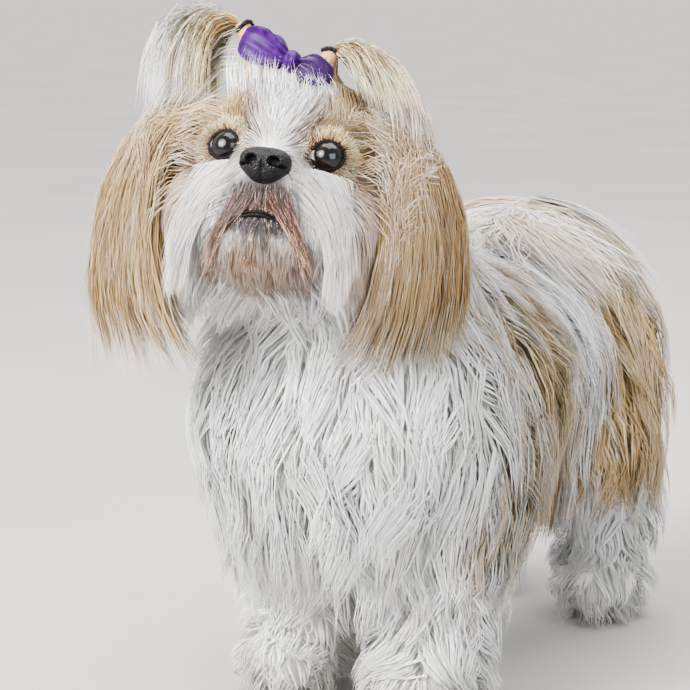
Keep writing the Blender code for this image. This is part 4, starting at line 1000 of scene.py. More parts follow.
def make_face(rng):
    """Hair of the face, in a short layer of few points and a long one of more."""
    count = TUFTS["face"]
    roots = scatter(count, face_density, rng)
    groups, guides = locks_of(roots, rng, 0.05)
    locks = len(guides)
    lengths = face_length(roots) * rng.uniform(0.85, 1.15, locks)[groups] * rng.uniform(0.75, 1.1, count)
    levels = field(roots) + 0.0008 + np.minimum(lengths * 0.16, 0.0045) * rng.uniform(0.1, 1.0, count)
    turns = rng.normal(0, 0.10, locks)[groups] + rng.normal(0, 0.06, count)
    colours = markings_and_painted_shade(roots)
    local = to_head(roots)
    whisker = near_place(np.stack([np.abs(local[:, 0]), local[:, 2]], 1), (0.012, -0.030), (0.014, 0.018))
    colours = blended(colours, BROWN, 0.85 * whisker * (rng.random(count) < 0.40))
    tinted = smooth(0.80, 0.60, colours[:, 2])
    colours = blended(colours, BROWN, 0.7 * tinted * (rng.random(count) < 0.12))
    colours = blended(colours, CREAM, 0.5 * tinted * (rng.random(count) < 0.10))
    colours = varied(colours, rng, 0.08, groups, 0.04)
    widths = np.interp(lengths, (0.006, 0.03), (0.00038, 0.00068)) * rng.uniform(0.8, 1.2, count)
    for name, chosen, points in (("short", lengths < 0.0170, 3), ("long", lengths >= 0.0170, 5)):
        here = roots[chosen]
        paths = comb(here, head_heading, lengths[chosen], levels[chosen], points, turns[chosen],
                     droop=0.15, leave=0.3)
        own, leaders = locks_of(here, rng, 0.06)
        paths = waved(drawn(paths, own, leaders, 0.35), own, rng, 0.0004, 0.040)
        keep = clear_of(paths)
        shade = colours[chosen][keep]
        coat_piece(f"coat_face_{name}", paths[keep], widths[chosen][keep], shade, shade * 1.05)


def curved(handles, points):
    """Paths of some points along smooth curves that rows of handles pull."""
    share = np.linspace(0, 1, points)[None, :, None]
    degree = len(handles) - 1
    return sum(handle[:, None] * math.comb(degree, k) * share**k * (1 - share) ** (degree - k)
               for k, handle in enumerate(handles))


def make_moustache(rng):
    """Long hair from the sides of the muzzle, out over the lip and down outside the corners of the mouth."""
    count, points = TUFTS["moustache"], 6
    for name, side in SIDES:
        x = 0.0100 + np.abs(rng.normal(0, 0.012, count))
        z = rng.uniform(-0.034, -0.008, count)
        inside = (z > mouth_height(x) + 0.0005) & (x > 0.010 - 0.40 * (z + 0.014)) & (x < 0.038)
        x, z = x[inside], z[inside]
        held = len(x)
        roots = head_surface(side * x, z, FACE_SKIN)
        low = smooth(-0.008, -0.030, z)
        wide = smooth(0.008, 0.026, x)
        edge = smooth(0.0085, 0.0020, z - mouth_height(x)) * smooth(0.026, 0.018, x)
        dark = rng.random(held) < 0.80 * edge
        tip_x = np.where(dark, 0.0235, 0.033 + 0.009 * wide + 0.005 * (1 - low))
        tip = np.stack([side * (tip_x + rng.uniform(-0.004, 0.004, held)),
                        -0.036 - 0.006 * low + rng.uniform(-0.004, 0.003, held),
                        -0.048 - 0.022 * low - rng.uniform(0.0, 0.010, held)], axis=1)
        layer = (rng.uniform(0.0010, 0.0040, held) + 0.0016 * dark)[:, None]
        knee = head_surface(side * (x + np.where(dark, 0.004, 0.008)), z - 0.004 * low, FACE_SKIN)
        bend_x = np.where(dark, 0.0215, 0.033 + 0.005 * wide)
        bend = head_surface(side * bend_x, -0.026 - 0.012 * low - 0.008 * dark, FACE_SKIN)
        knee = knee + slope(knee) * layer
        bend = bend + slope(bend) * (layer + 0.003)
        paths = curved((roots, knee, bend, placed(HEAD, tip)), points)
        groups, guides = locks_of(roots, rng, 0.045)
        paths = waved(drawn(paths, groups, guides, 0.50), groups, rng, 0.0007, 0.045)
        keep = clear_of(paths)
        paths, x, dark, groups = paths[keep], x[keep], dark[keep], groups[keep]
        colours = np.tile(WHITE, (len(x), 1))
        colours = blended(colours, BROWN, dark * rng.uniform(0.75, 1.0, len(x)))
        colours = streaked(colours, rng, 0.05, BROWN)
        colours = streaked(colours, rng, 0.08, CREAM)
        colours = varied(colours, rng, 0.06, groups, 0.05)
        tips = blended(blended(colours, CREAM, 0.30 * (1 - dark)), RUST, 0.5 * dark)
        facing = unit(slope(paths[:, 3]) + HEAD_TURN @ np.array((side * 0.3, -0.5, 0.2)))
        widths = rng.uniform(0.0004, 0.0007, len(x))
        coat_piece(f"coat_moustache_{name}", paths, widths, colours, tips, facing)


def make_arch(rng):
    """Dark hair from under the nose, down beside the mouth to its corners, fuller on the right."""
    for name, side, count in (("left", 1, 300), ("right", -1, 420)):
        x = rng.uniform(0.0020, 0.0135, count)
        roots = head_surface(side * x, rng.uniform(-0.031, -0.020, count), FACE_SKIN)
        places = ((0.0065 + 0.6 * x, -0.0340, 0.0015, 0.0020), (0.0185 + 0 * x, -0.0430, 0.0020, 0.0028),
                  (0.0225 + 0 * x, -0.0560, 0.0022, 0.0060))
        handles = [roots]
        layer = rng.uniform(0.0030, 0.0055, count)[:, None]
        for across, height, spread, rise in places:
            x_here = across + rng.normal(0, spread, count)
            place = head_surface(side * x_here, height + rng.normal(0, rise, count), FACE_SKIN)
            handles.append(place + slope(place) * layer)
        paths = curved(handles, 5)
        groups, guides = locks_of(roots, rng, 0.10)
        paths = drawn(paths, groups, guides, 0.45)
        keep = clear_of(paths)
        held = keep.sum()
        colours = blended(np.tile(BROWN, (held, 1)), MAUVE, rng.random(held))
        colours = varied(colours, rng, 0.12, groups[keep], 0.10)
        tips = blended(colours, RUST, np.full(held, 0.5))
        facing = unit(slope(paths[keep][:, 2]) + HEAD_TURN @ np.array((side * 0.2, -0.4, 0.1)))
        widths = rng.uniform(0.00032, 0.00060, held)
        coat_piece(f"coat_arch_{name}", paths[keep], widths, colours, tips, facing)


def make_rim_fur(rng):
    """Very short dark fur round the eyelids, lying outwards."""
    count, points = TUFTS["rim"], 4
    for name, side in SIDES:
        centre, axis = eye_centre(side), eye_axis(side)
        across, upward = disc_frame(axis)
        turn = rng.uniform(0, 2 * math.pi, count)
        way = np.cos(turn)[:, None] * across + np.sin(turn)[:, None] * upward
        reach = rng.uniform(0.0078, 0.0120, count)[:, None]
        depth = math.sqrt(EYE_RADIUS**2 - 0.0072**2) + 0.0006 - 0.45 * np.clip(reach - 0.0082, 0, 1)
        roots = centre + way * reach + axis * depth
        lean = unit(way * 1.0 + rng.normal(0, 0.25, (count, 3)) + head_heading(roots, 0) * 0.5)
        length = rng.uniform(0.0030, 0.0065, count)[:, None]
        share = np.linspace(0, 1, points)[None, :, None]
        paths = roots[:, None] + lean[:, None] * (share * length[:, None])
        paths = paths + axis * (0.0010 * np.sin(share * 2.2)) - axis * 0.0006
        keep = clear_of(paths, 0.0072)
        dark = blended(markings_and_painted_shade(roots), DARK, 0.95 * smooth(0.0135, 0.0095, reach[:, 0]))
        tips = blended(markings_and_painted_shade(paths[:, -1]), TAN * 0.7, np.full(count, 0.75))
        tips = blended(tips, dark, np.full(count, 0.15))
        facing = unit(axis + 0.3 * way)
        widths = rng.uniform(0.0003, 0.0005, keep.sum())
        coat_piece(f"coat_lid_{name}", paths[keep], widths, dark[keep], tips[keep], facing[keep])


def ear_colour(along, rng, groups):
    """Golden ears, paler in front, with darker hairs behind and brown-grey ones towards the hem."""
    count = len(along)
    colours = blended(np.tile(GOLD, (count, 1)), CREAM, 0.55 * smooth(0.50, 0.1, along))
    colours = blended(colours, TAN, 0.8 * smooth(0.5, 0.95, along))
    colours = streaked(colours, rng, 0.26, TAN, groups)
    colours = streaked(colours, rng, 0.12 + 0.20 * along, BROWN)
    colours = streaked(colours, rng, 0.16, CREAM)
    return varied(colours, rng, 0.06, groups, 0.06)


def make_ears(rng):
    points = 5
    share = np.linspace(0, 1, points)
    for name, side in SIDES:
        count = TUFTS["ear"]
        along, start = rng.random(count), rng.beta(1.0, 1.7, count) * 0.75
        whole = rng.random(count) < 0.6
        hem = 1.035 - np.abs(rng.normal(0, 0.030, count))
        end = np.where(whole, hem, start + rng.uniform(0.3, 0.6, count))
        end = np.clip(end, start + 0.12, 1.05)
        drift = rng.normal(0, 0.014, count)[:, None] * share[None]
        fall = start[:, None] + (end - start)[:, None] * share[None]
        layer = rng.uniform(-0.0030, 0.0060, count)[:, None] * np.minimum(share * 3, 1)[None]
        flat_along, flat_fall = (along[:, None] + drift).ravel(), fall.ravel()
        normals = ear_normal(side, flat_along, flat_fall)
        paths = ear_sheet(side, flat_along, flat_fall) + normals * layer.ravel()[:, None]
        paths = paths.reshape(count, points, 3)
        groups, guides = locks_of(np.stack([along * 0.3, fall[:, 3] * 0.06, layer[:, 3]], 1), rng, 0.04)
        paths = drawn(paths, groups, guides, 0.42, 1.8)
        facing = normals.reshape(count, points, 3)[:, 3]
        colours = ear_colour(along, rng, groups)
        widths = rng.uniform(0.0005, 0.0009, count)
        tips = colours * (0.56 - 0.08 * side)
        coat_piece(f"coat_ear_{name}", paths, widths, colours, tips, facing, blunt=0.6)
        make_temple(name, side, rng)


def temple_density(side):
    """Where the hair that runs from the temple over the ear is rooted."""
    def density(points):
        local = to_head(points)
        x, y, z = local[:, 0] * side, local[:, 1], local[:, 2]
        place = smooth(0.024, 0.030, x) * smooth(-0.034, -0.020, z) * smooth(-0.036, -0.028, y)
        place *= smooth(0.030, 0.015, y)
        place *= 1 - smooth(-0.004, -0.014, z) * smooth(0.042, 0.036, x)
        return place * (np.linalg.norm(local, axis=1) < 0.075) * (eye_offsets(points, side)[1] > 0.011)
    return density


def make_temple(name, side, rng):
    count, points = TUFTS["temple"], 6
    roots = scatter(count, temple_density(side), rng)
    local = to_head(roots)
    rise = smooth(-0.005, 0.032, local[:, 2])
    low = smooth(0.000, -0.024, local[:, 2])
    along = np.clip(0.02 + 0.50 * rise * rng.random(count) + 0.06 * rng.random(count), 0, 1)
    reach = rng.uniform(0.40, 0.92, count) * (1 - low) + rng.uniform(0.70, 0.95, count) * low
    layer = rng.uniform(0.0020, 0.0065, count)[:, None]
    upper_fall, lower_fall = 0.10 + 0.2 * reach + 0.26 * low, 0.62 * reach + 0.12 * low
    over = ear_sheet(side, along, upper_fall) + ear_normal(side, along, upper_fall) * (layer + 0.003)
    lower = ear_sheet(side, along, lower_fall) + ear_normal(side, along, lower_fall) * layer
    tip = ear_sheet(side, along, reach) + ear_normal(side, along, reach) * layer
    lean = np.stack([np.full(count, side * 0.006), 0 * low, 0.003 - 0.012 * low], axis=1)
    knee = roots + slope(roots) * (0.010 - 0.006 * low)[:, None] + lean @ HEAD_TURN.T
    paths = curved((roots, knee, over, lower, tip), points)
    groups, guides = locks_of(roots, rng, 0.06)
    paths = drawn(paths, groups, guides, 0.35)
    keep = clear_of(paths, 0.0095)
    paths, groups, along = paths[keep], groups[keep], along[keep]
    colours = blended(markings_and_painted_shade(roots[keep]), CREAM, np.full(keep.sum(), 0.6))
    colours = streaked(streaked(colours, rng, 0.20, TAN, groups), rng, 0.10, BROWN)
    colours = varied(colours, rng, 0.06, groups, 0.06)
    tips = blended(colours, GOLD, np.full(keep.sum(), 0.6))
    facing = unit(ear_normal(side, along, np.full(keep.sum(), 0.3)) + 0.4 * slope(roots[keep]))
    coat_piece(f"coat_temple_{name}", paths, rng.uniform(0.0004, 0.0007, keep.sum()), colours, tips, facing)


def make_topknots(rng):
    points = 6
    share = np.linspace(0, 1, points)
    for name, side in SIDES:
        count = TUFTS["topknot"]
        spread, depth = rng.uniform(-0.12, 1.12, count), rng.uniform(-1.2, 1.2, count)
        whole = rng.random(count) < 0.55
        reach = np.where(whole, rng.uniform(0.88, 1.12, count), rng.uniform(0.4, 0.9, count))
        fall = reach[:, None] * share[None]
        wide, deep = (np.repeat(v[:, None], points, 1) for v in (spread, depth))
        paths = plume_point(side, wide, deep, fall)
        rise = rng.normal(0, 0.0025, count)[:, None] * np.sin(share * math.pi)[None]
        paths = paths + rise[:, :, None] * HEAD_TURN[:, 2]
        middle = (wide[:, 3], deep[:, 3], fall[:, 3])
        facing = unit(plume_point(side, middle[0], middle[1] - 0.3, middle[2]) - plume_point(side, *middle))
        facing = unit(facing + np.array((0, 0, 0.7)))
        groups, guides = locks_of(paths[:, 3], rng, 0.07)
        paths = drawn(paths, groups, guides, 0.40)
        if side < 0:
            colours = blended(np.tile(PALE_GREY * 0.42, (count, 1)), CREAM * 0.50, smooth(1.0, 0.45, spread))
            colours = blended(colours, GOLD * 0.8, smooth(0.45, 0.05, spread))
            colours = streaked(colours, rng, 0.35 * smooth(0.5, 0.1, spread), BROWN)
        else:
            colours = blended(np.tile(CREAM * 0.45, (count, 1)), GOLD * 0.55, 0.3 + 0.7 * rng.random(count))
        colours = varied(streaked(colours, rng, 0.18, TAN, groups), rng, 0.06, groups, 0.06)
        widths = rng.uniform(0.0004, 0.0007, count)
        coat_piece(f"coat_topknot_{name}", paths, widths, colours, colours * 0.68, facing)
        make_gather(name, side, rng)


def make_gather(name, side, rng):
    """Hair of the forehead and crown drawn up into the band."""
    count, points = TUFTS["gather"], 5
    turn = rng.uniform(0, 2 * math.pi, count)
    crown, band = np.array(CROWN[side]), np.array(BAND[side])
    reach = rng.uniform(0.008, 0.040, count)
    ring = np.stack([np.cos(turn) * reach, np.sin(turn) * reach, 0 * turn], axis=1)
    foot = crown + ring
    middle = (crown[0] + CROWN[-side][0]) / 2
    beyond = (foot[:, 0] - middle) * side < -0.001
    foot[beyond, 0] = middle + side * rng.uniform(0.0, 0.003, beyond.sum())
    roots = placed(HEAD, foot)
    for _ in range(6):
        roots += slope(roots) * np.clip(skin_level(roots) - field(roots), -0.01, 0.01)[:, None]
    hold = (0.0034 / reach)[:, None] * rng.uniform(0.5, 1.0, count)[:, None]
    top = placed(HEAD, band * 0.96 + crown * 0.04 + ring * hold)
    knee = placed(HEAD, crown + ring * (0.009 / reach)[:, None] + np.array((0, 0, 0.008)))
    paths = curved((roots, knee, top), points)
    flat = paths.reshape(-1, 3)
    lift = 0.0012 + rng.uniform(0, 0.0035, count)[:, None] - field(flat).reshape(count, points)
    lift = np.clip(lift, 0, 0.02)
    lift[:, 0] = 0
    paths += slope(flat).reshape(paths.shape) * lift[:, :, None]
    groups, guides = locks_of(roots, rng, 0.06)
    paths = drawn(paths, groups, guides, 0.25)
    keep = clear_of(paths)
    colours = varied(markings_and_painted_shade(roots), rng, 0.06, groups, 0.05)
    tips = blended(colours, PEACH, np.full(count, 0.6))
    widths = rng.uniform(0.0005, 0.0008, keep.sum())
    coat_piece(f"coat_gather_{name}", paths[keep], widths, colours[keep], tips[keep], blunt=0.8)


def make_wisps(rng):
    """Fine white hairs of the forehead that stand up before the foot of the bow."""
    count = TUFTS["wisps"]
    x, z = rng.uniform(-0.034, 0.022, count), rng.uniform(0.028, 0.040, count)
    roots = head_surface(x, z, FACE_SKIN)
    low = np.interp(x, (-0.032, -0.002, 0.020), (0.051, 0.045, 0.041))
    tip = np.stack([x * 0.9 - 0.001 + rng.normal(0, 0.002, count), rng.uniform(-0.036, -0.029, count),
                    low + rng.uniform(-0.006, 0.006, count)], axis=1)
    knee = placed(HEAD, np.stack([x, np.full(count, -0.036), 0.5 * (z + low) + 0.002], axis=1))
    paths = curved((roots, roots + slope(roots) * 0.003, knee, placed(HEAD, tip)), 5)
    groups, guides = locks_of(roots, rng, 0.12)
    paths = drawn(paths, groups, guides, 0.35)
    colours = varied(np.tile(WHITE, (count, 1)), rng, 0.05)
    coat_piece("coat_wisps", paths, rng.uniform(0.00020, 0.00038, count), colours, colours)


def tail_heading(points, share):
    """Off both sides of the tail, and forwards from its tip."""
    x, y, z = points.T
    high = smooth(0.235, 0.262, z)
    out = np.sign(x - 0.004 - 0.004 * wobble(points, 0.012, 5)) * (0.25 + 0.75 * high)
    back = 0.30 * smooth(0.17, 0.10, y) * (0.3 + high) - 1.6 * high * smooth(0.105, 0.065, y)
    return np.stack([out, back, -1.0 + 0.5 * high], axis=1)


def make_tail(rng):
    count, points = TUFTS["tail"], 6
    share = np.clip(rng.beta(1.2, 0.9, count) * 1.02, 0, 1)
    centre = tail_curve(share)
    along = unit(tail_curve(np.minimum(share + 0.02, 1)) - tail_curve(np.maximum(share - 0.02, 0)))
    turn = rng.uniform(-math.pi, math.pi, count)
    side = unit(np.cross(along, (0.0, 0.02, 1.0)))
    out = np.cos(turn)[:, None] * side + np.sin(turn)[:, None] * np.cross(side, along)
    roots = centre + out * (0.0075 - 0.0060 * share)[:, None]
    groups, guides = locks_of(roots, rng, 0.05)
    lengths = rng.uniform(0.080, 0.125, len(guides))[groups] * rng.uniform(0.75, 1.05, count)
    levels = rng.uniform(0.003, 0.019, len(guides))[groups] + rng.uniform(-0.003, 0.002, count)
    fan = smooth(0.72, 0.95, share)
    lengths = lengths * (1 - 0.45 * fan * rng.random(count))
    turns = rng.normal(0, 0.12, len(guides))[groups] + rng.normal(0, 0.05, count)
    turns = turns + 0.55 * fan * rng.normal(size=count)
    paths = comb(roots, tail_heading, lengths, levels, points, turns, droop=1.2)
    paths = drawn(paths, groups, guides, 0.5)
    paths = waved(paths, groups, rng, 0.0022, 0.060)
    colours = blended(np.tile(WHITE, (count, 1)), CREAM, 0.9 * rng.random(len(guides))[groups])
    colours = varied(streaked(colours, rng, 0.14, GOLD, groups), rng, 0.04, groups, 0.05)
    coat_piece("coat_tail", paths, rng.uniform(0.0008, 0.0013, count), colours, colours * 1.03)


# Eyes, lids, nose and lips
GAZE_TURN = (0.10, 0.0, 0.05)


def disc_frame(axis):
    """Two unit vectors square to an axis."""
    across = unit(np.cross((0, 0, 1.0), axis))
    return across, np.cross(axis, across)


def eye_mesh(side):
    """An eyeball in rings round its gaze, tinted as pupil, iris, dark rim and white, with a raised cornea."""
    centre = eye_centre(side)
    axis = unit(eye_axis(side) + HEAD_TURN @ np.array(GAZE_TURN))
    across, upward = disc_frame(axis)
    sides = 64
    turns = np.arange(sides) * 2 * math.pi / sides
    steps = [np.linspace(1.5, 46, 34), np.linspace(48, 62, 8), np.linspace(66, 176, 12)]
    angles = np.radians(np.concatenate(steps))
    rays = 1 + 0.22 * np.sin(turns * 17 + 2.0 * np.sin(turns * 5))
    points, tints = [], []
    for angle in angles:
        swell = 0.0007 * float(smooth(math.radians(46), math.radians(10), angle))
        ring = np.cos(turns)[:, None] * across + np.sin(turns)[:, None] * upward
        points.append(centre + (EYE_RADIUS + swell) * (math.cos(angle) * axis + math.sin(angle) * ring))
        place = EYE_RADIUS * math.sin(angle)
        iris, limbus, white = (smooth(low, low + 0.0006, place) for low in (0.0036, 0.0067, 0.0076))
        tint = rgb(3, 3, 3) + (rgb(17, 11, 9) * rays[:, None] - rgb(3, 3, 3)) * iris
        tint = tint + (rgb(5, 4, 4) - tint) * limbus
        tint = tint + (rgb(222, 214, 210) - tint) * white
        tints.append(np.broadcast_to(tint, (sides, 3)))
    front, rear = centre + (EYE_RADIUS + 0.0007) * axis, centre - EYE_RADIUS * axis
    points = np.concatenate([np.concatenate(points), [front, rear]])
    tints = np.concatenate([np.concatenate(tints), [rgb(3, 3, 3), rgb(120, 60, 50)]])
    faces = ring_faces(len(angles), sides)
    last = (len(angles) - 1) * sides
    faces += [(len(points) - 2, (m + 1) % sides, m) for m in range(sides)]
    faces += [(len(points) - 1, last + m, last + (m + 1) % sides) for m in range(sides)]
    mesh = mesh_of("eye", points, faces)
    set_tint(mesh, tints)
    return mesh


def lid_mesh(side):
    """Eyelids: a dark wet edge on the ball, a rounded rim, a slope to the fur and a pointed inner corner."""
    centre, axis = eye_centre(side), eye_axis(side)
    inner = HEAD_TURN @ np.array((-side * 1.0, 0, -0.12))
    inner = unit(inner - axis * (inner @ axis))
    upward = np.cross(axis, inner) * side
    sides = 72
    turns = np.arange(sides) * 2 * math.pi / sides
    corner = np.exp(-(np.minimum(turns, 2 * math.pi - turns) / 0.26) ** 2)
    far = np.exp(-((turns - math.pi) / 0.30) ** 2)
    opening = 0.0070 + 0.0030 * corner + 0.0006 * far
    level = 0.92 * np.sin(turns)
    ways = np.cos(turns)[:, None] * inner + level[:, None] * upward
    rows = ((0.0, 0.0002), (0.0004, 0.0007), (0.0010, 0.0008),
            (0.0020, 0.0002), (0.0036, -0.0008), (0.0054, -0.0024))
    points, tints = [], []
    for outward, rise in rows:
        reach = opening + outward * (1 - 0.35 * corner)
        depth = np.sqrt(np.maximum(EYE_RADIUS**2 - np.minimum(opening, 0.0094) ** 2, 0))
        points.append(centre + ways * reach[:, None] + axis * (depth + rise - 0.35 * outward)[:, None])
        fur = smooth(0.0020, 0.0052, outward)
        edge = np.tile(rgb(4, 3, 3), (sides, 1))
        tints.append(blended(edge, markings_and_painted_shade(points[-1]) * 0.75, np.full(sides, fur)))
    points.append(points[0] - axis * 0.0030 + ways * 0.0004)
    tints.append(tints[0])
    points.append(points[len(rows) - 1] - axis * 0.0030)
    tints.append(tints[len(rows) - 1])
    order = [0, 1, 2, 3, 4, 5, 7, 6]
    faces = ring_faces(len(order), sides, wrap=True)
    mesh = mesh_of("lid", np.concatenate([points[k] for k in order]), faces)
    set_tint(mesh, np.concatenate([tints[k] for k in order]))
    return mesh


def globe_angles(rings, sides, gap):
    """Polar and turning angles of a globe's points, ring by ring, with a gap at the poles."""
    polar = np.linspace(gap, math.pi - gap, rings)
    turn = np.arange(sides) * 2 * math.pi / sides
    polar, turn = np.meshgrid(polar, turn, indexing="ij")
    return polar.ravel(), turn.ravel()


def nose_mesh():
    """A broad nose leather with comma nostrils, a groove down its middle and rounded wings."""
    count, sides = 56, 80
    polar, turn = globe_angles(count, sides, 0.02)
    x, y, z = np.sin(polar) * np.cos(turn), -np.cos(polar), np.sin(polar) * np.sin(turn)
    square = (np.abs(np.cos(turn)) ** 2.6 + np.abs(np.sin(turn)) ** 2.6) ** (-1 / 2.6)
    wide = 0.0128 * (1 - 0.34 * smooth(-0.15, -1.0, z * square))
    tall = np.where(z > 0, 0.0076, 0.0104)
    shaped = np.stack([x * square * wide, y * 0.0094, z * square * tall], axis=1)
    shaped[:, 1] -= 0.0012 * near_place(np.stack([np.abs(x), z], 1), (0.62, 0.05), (0.5, 0.6)) * (y < 0)
    groove = np.exp(-((shaped[:, 0] / 0.0008) ** 2)) * smooth(0.0015, -0.0030, shaped[:, 2])
    groove = groove * smooth(0.1, -0.6, y)
    shaped[:, 1] += 0.0015 * groove
    aside, height = np.abs(shaped[:, 0]), shaped[:, 2] + 0.0006
    slit = np.hypot((aside - 0.0056) / 0.0028, height / 0.0025)
    tail = np.hypot((aside - 0.0088) / 0.0026, (height + 0.0018) / 0.0010)
    nostril = np.maximum(smooth(1.2, 0.6, slit), smooth(1.2, 0.6, tail)) * (y < 0)
    shaped[:, 1] += 0.0050 * nostril
    place = placed(HEAD, np.array((0, -0.0575, -0.0096)) + shaped)
    faces = ring_faces(count, sides) + [tuple(range(sides)), tuple(range((count - 1) * sides, count * sides))]
    mesh = mesh_of("nose", place, faces)
    leather = np.tile(rgb(5, 4, 5), (len(place), 1))
    # Painted shade: the nostrils and the groove down the middle are tinted darker than the leather, as in
    # their hollows
    set_tint(mesh, blended(leather, rgb(1, 1, 1), np.maximum(nostril, 0.6 * groove)))
    return mesh


def head_surface(x, z, level=0.0):
    """The place on the front of the face at head-local x and z, on a level of the field."""
    low, high = np.full(len(x), -0.020), np.full(len(x), -0.100)
    for _ in range(24):
        middle = (low + high) / 2
        inside = field(placed(HEAD, np.stack([x, middle, z], 1))) < level
        low, high = np.where(inside, middle, low), np.where(inside, high, middle)
    return placed(HEAD, np.stack([x, (low + high) / 2, z], 1))


def lip_mesh(drop, radius, level):
    """A lip along the mouth's arch, thinning out to the corners."""
    x = np.linspace(-0.0095, 0.0095, 61)
    path = head_surface(x, mouth_height(x) - drop, level)
    return tube_mesh("lip", path, radius * (1 - 0.85 * (np.abs(x) / 0.0095) ** 1.5), 10)


def eye_material():
    made = material("eye_gloss", 0.30, 0.02, Coat_Weight=1.0, Coat_Roughness=0.02, Coat_IOR=1.33)
    tint_by_noise(made, noise_of(made, 1400.0), 0.85, 1.15, attribute="tint")
    return made


def leather_material(name, roughness, scale, strength, specular=0.25):
    made = material(name, roughness, specular)
    place = add_node(made, "ShaderNodeTexCoord")
    cells = add_node(made, "ShaderNodeTexVoronoi", Scale=scale)
    join_nodes(made, place.outputs["Object"], cells.inputs["Vector"])
    add_bump(made, cells.outputs["Distance"], strength, 0.0006)
    tint_by_noise(made, noise_of(made, 700.0), 0.75, 1.25, attribute="tint")
    return made


def make_features():
    eyes, rims = eye_material(), leather_material("lid_rim", 0.55, 1500.0, 0.25, 0.08)
    leather = leather_material("nose_leather", 0.42, 1100.0, 0.9, 0.18)
    lips = leather_material("lip_skin", 0.55, 1300.0, 0.4, 0.08)
    for name, side in SIDES:
        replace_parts(new_piece(f"eyeball_{name}", eye_mesh(side), eyes), f"eye_{name}")
        new_piece(f"lid_{name}", lid_mesh(side), rims)
    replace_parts(new_piece("nose_leather", nose_mesh(), leather), "nose")
    for name, drop, radius, level in (("upper", 0.0, 0.0009, -0.0018), ("lower", 0.0014, 0.0012, -0.0022)):
        mesh = lip_mesh(drop, radius, level)
        set_tint(mesh, np.tile(rgb(9, 5, 6), (len(mesh.vertices), 1)))
        new_piece(f"lip_{name}", mesh, lips)


# Bow and bands
def ribbon_material(name, dark, light, scale, roughness):
    made = material(name, roughness, 0.10)
    tint_by_noise(made, noise_of(made, scale, 6.0), 0.0, 1.0, colours=(dark, light))
    add_bump(made, noise_of(made, 2600.0, 2.0), 0.15, 0.0002)
    return made


def loop_mesh(start, end, width, depth, folds):
    """A ribbon loop from the knot to its end and back, pinched at the knot, with folds along it."""
    start, end = np.array(start), np.array(end)
    along = unit(end - start)
    across = unit(np.cross(along, (0.15, 0.9, 0.1)))
    out = unit(np.cross(across, along))
    rows, columns = 56, 21
    span = np.linalg.norm(end - start)
    grid = np.empty((rows, columns, 3))
    for i, turn in enumerate(np.linspace(0, 2 * math.pi, rows, endpoint=False)):
        share = (1 - math.cos(turn)) / 2
        spread = width * (0.30 + 0.70 * float(smooth(0.0, 0.55, share))) * (1 - 0.50 * share**5)
        centre = start + along * span * share + out * depth * math.sin(turn) * (0.5 + 0.7 * share)
        for j, column in enumerate(np.linspace(-0.5, 0.5, columns)):
            pleat = 0.0006 * math.sin(column * folds * 2 * math.pi + 0.9 * math.sin(turn * 2)) * (1.2 - share)
            curl = 0.0022 * (2 * column) ** 2 * math.sin(turn)
            cup = along * 0.0022 * (2 * column) ** 2 * (share - 0.5)
            grid[i, j] = centre + across * spread * column + out * (pleat + curl) - cup
    normal = unit(np.cross(np.roll(grid, -1, 0) - np.roll(grid, 1, 0), np.gradient(grid, axis=1)))
    points = np.concatenate([grid.reshape(-1, 3), (grid - normal * 0.0005).reshape(-1, 3)])
    faces, size = [], rows * columns
    for i in range(rows):
        n = (i + 1) % rows
        for j in range(columns - 1):
            quad = (i * columns + j, i * columns + j + 1, n * columns + j + 1, n * columns + j)
            faces += [quad, tuple(size + v for v in reversed(quad))]
        for j in (0, columns - 1):
            faces.append((i * columns + j, n * columns + j, size + n * columns + j, size + i * columns + j))
    return mesh_of("loop", placed(HEAD, points), faces)


def knot_mesh():
    count, sides = 18, 36
    polar, turn = globe_angles(count, sides, 0.05)
    swell = 1 + 0.08 * np.sin(turn * 6 + polar)
    points = np.stack([np.sin(polar) * np.cos(turn) * swell * 0.0048,
                       np.sin(polar) * np.sin(turn) * swell * 0.0070,
                       np.cos(polar) * 0.0058], axis=1)
    faces = ring_faces(count, sides) + [tuple(range(sides)), tuple(range((count - 1) * sides, count * sides))]
    return mesh_of("knot", placed(HEAD, points + np.array(BOW_KNOT)), faces)


def band_mesh(side):
    """One wavy turn of elastic round the gather."""
    crown, band = np.array(CROWN[side]), np.array(BAND[side])
    axis = unit(band - crown)
    across, upward = disc_frame(axis)
    turns = np.linspace(0, 2 * math.pi, 96, endpoint=False)
    rise, reach = 0.0010 * np.sin(turns * 2), 0.0042 + 0.0005 * np.sin(turns * 12)
    ring = np.cos(turns)[:, None] * across + np.sin(turns)[:, None] * upward
    path = band * 0.96 + crown * 0.04 + reach[:, None] * ring + rise[:, None] * axis
    return tube_mesh("band", placed(HEAD, path), np.full(96, 0.0012), 8, wrap=True)


BOW_END = {1: (0.0190, -0.022, 0.0450), -1: (-0.0305, -0.018, 0.0620)}


def make_bow():
    satin = ribbon_material("bow_satin", rgb(22, 0, 40), rgb(56, 0, 92), 240.0, 0.42)
    glitter = ribbon_material("bow_glitter", rgb(10, 3, 20), rgb(52, 24, 76), 1500.0, 0.38)
    elastic = ribbon_material("band_elastic", rgb(8, 7, 9), rgb(24, 21, 26), 1500.0, 0.55)
    for name, side, look, width in (("left", 1, glitter, 0.0165), ("right", -1, satin, 0.0200)):
        loop = new_piece(f"ribbon_{name}", loop_mesh(BOW_KNOT, BOW_END[side], width, 0.0060, 3), look)
        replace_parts(loop, f"bow_loop_{name}")
        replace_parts(new_piece(f"elastic_{name}", band_mesh(side), elastic), f"hair_band_{name}")
    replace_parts(new_piece("ribbon_knot", knot_mesh(), satin), "bow_knot")


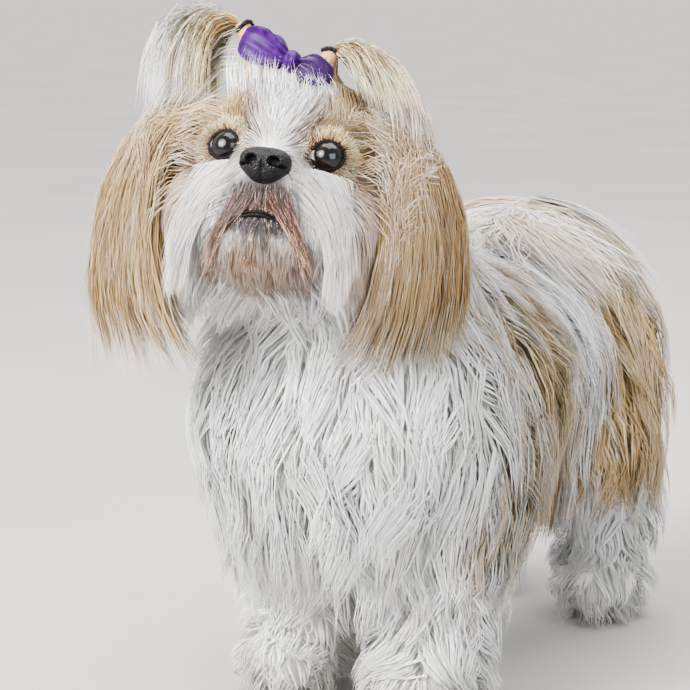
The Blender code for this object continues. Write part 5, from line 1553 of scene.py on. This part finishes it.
# Studio
def make_studio():
    floor = material("studio_floor", 0.8, 0.15)
    tint_by_noise(floor, noise_of(floor, 3.0), 0.0, 1.0, colours=(rgb(158, 155, 151), rgb(166, 163, 159)))
    corners = [(x, y, -0.0002) for x, y in ((-40, -40), (40, -40), (40, 160), (-40, 160))]
    mesh = mesh_of("studio_floor", corners, [(0, 1, 2, 3)])
    mesh.materials.append(floor)
    plane = bpy.data.objects.new("studio_floor", mesh)
    bpy.context.scene.collection.objects.link(plane)
    world = bpy.data.worlds.new("studio")
    world.use_nodes = True
    world.node_tree.nodes["Background"].inputs["Color"].default_value = (0.86, 0.88, 0.92, 1)
    world.node_tree.nodes["Background"].inputs["Strength"].default_value = 1.30
    bpy.context.scene.world = world
    lights = (("sun", (-0.80, -1.70, 1.25), 0.80, 13.0, (1.0, 0.985, 0.96)),
              ("window", (-0.75, -1.75, 1.35), 0.6, 90.0, (1.0, 0.99, 0.97)),
              ("fill", (1.7, -1.0, 0.9), 1.2, 50.0, (0.95, 0.97, 1.0)),
              ("top", (0.1, 0.3, 1.9), 1.6, 90.0, (1.0, 1.0, 1.0)))
    for name, place, size, power, colour in lights:
        data = bpy.data.lights.new(name, "SUN" if name == "sun" else "AREA")
        if name == "sun":
            data.angle = size
        else:
            data.size = size
        data.energy = power
        data.color = colour
        lamp = bpy.data.objects.new(name, data)
        lamp.location = place
        lamp.rotation_euler = (Vector((0, -0.05, 0.2)) - Vector(place)).to_track_quat("-Z", "Y").to_euler()
        bpy.context.scene.collection.objects.link(lamp)


def make_camera():
    turn = math.radians(28)
    right, ahead = Vector((math.cos(turn), math.sin(turn), 0)), Vector((-math.sin(turn), math.cos(turn), 0))
    place = Vector((0, -0.105, 0)) + Vector(SHIFT) - right * 0.0055 - ahead * 1.08 + Vector((0, 0, 0.40))
    data = bpy.data.cameras.new("camera")
    data.lens = 106
    data.sensor_width = 36
    camera = bpy.data.objects.new("camera", data)
    camera.location = place
    way = ahead * math.cos(math.radians(10)) - Vector((0, 0, math.sin(math.radians(10))))
    camera.rotation_euler = way.to_track_quat("-Z", "Y").to_euler()
    bpy.context.scene.collection.objects.link(camera)
    bpy.context.scene.camera = camera


def main():
    rng = np.random.default_rng(SEED)
    make_features()
    make_bow()
    make_body(rng)
    make_face(rng)
    make_moustache(rng)
    make_arch(rng)
    make_rim_fur(rng)
    make_ears(rng)
    make_topknots(rng)
    make_wisps(rng)
    make_tail(rng)
    make_studio()
    make_camera()


main()
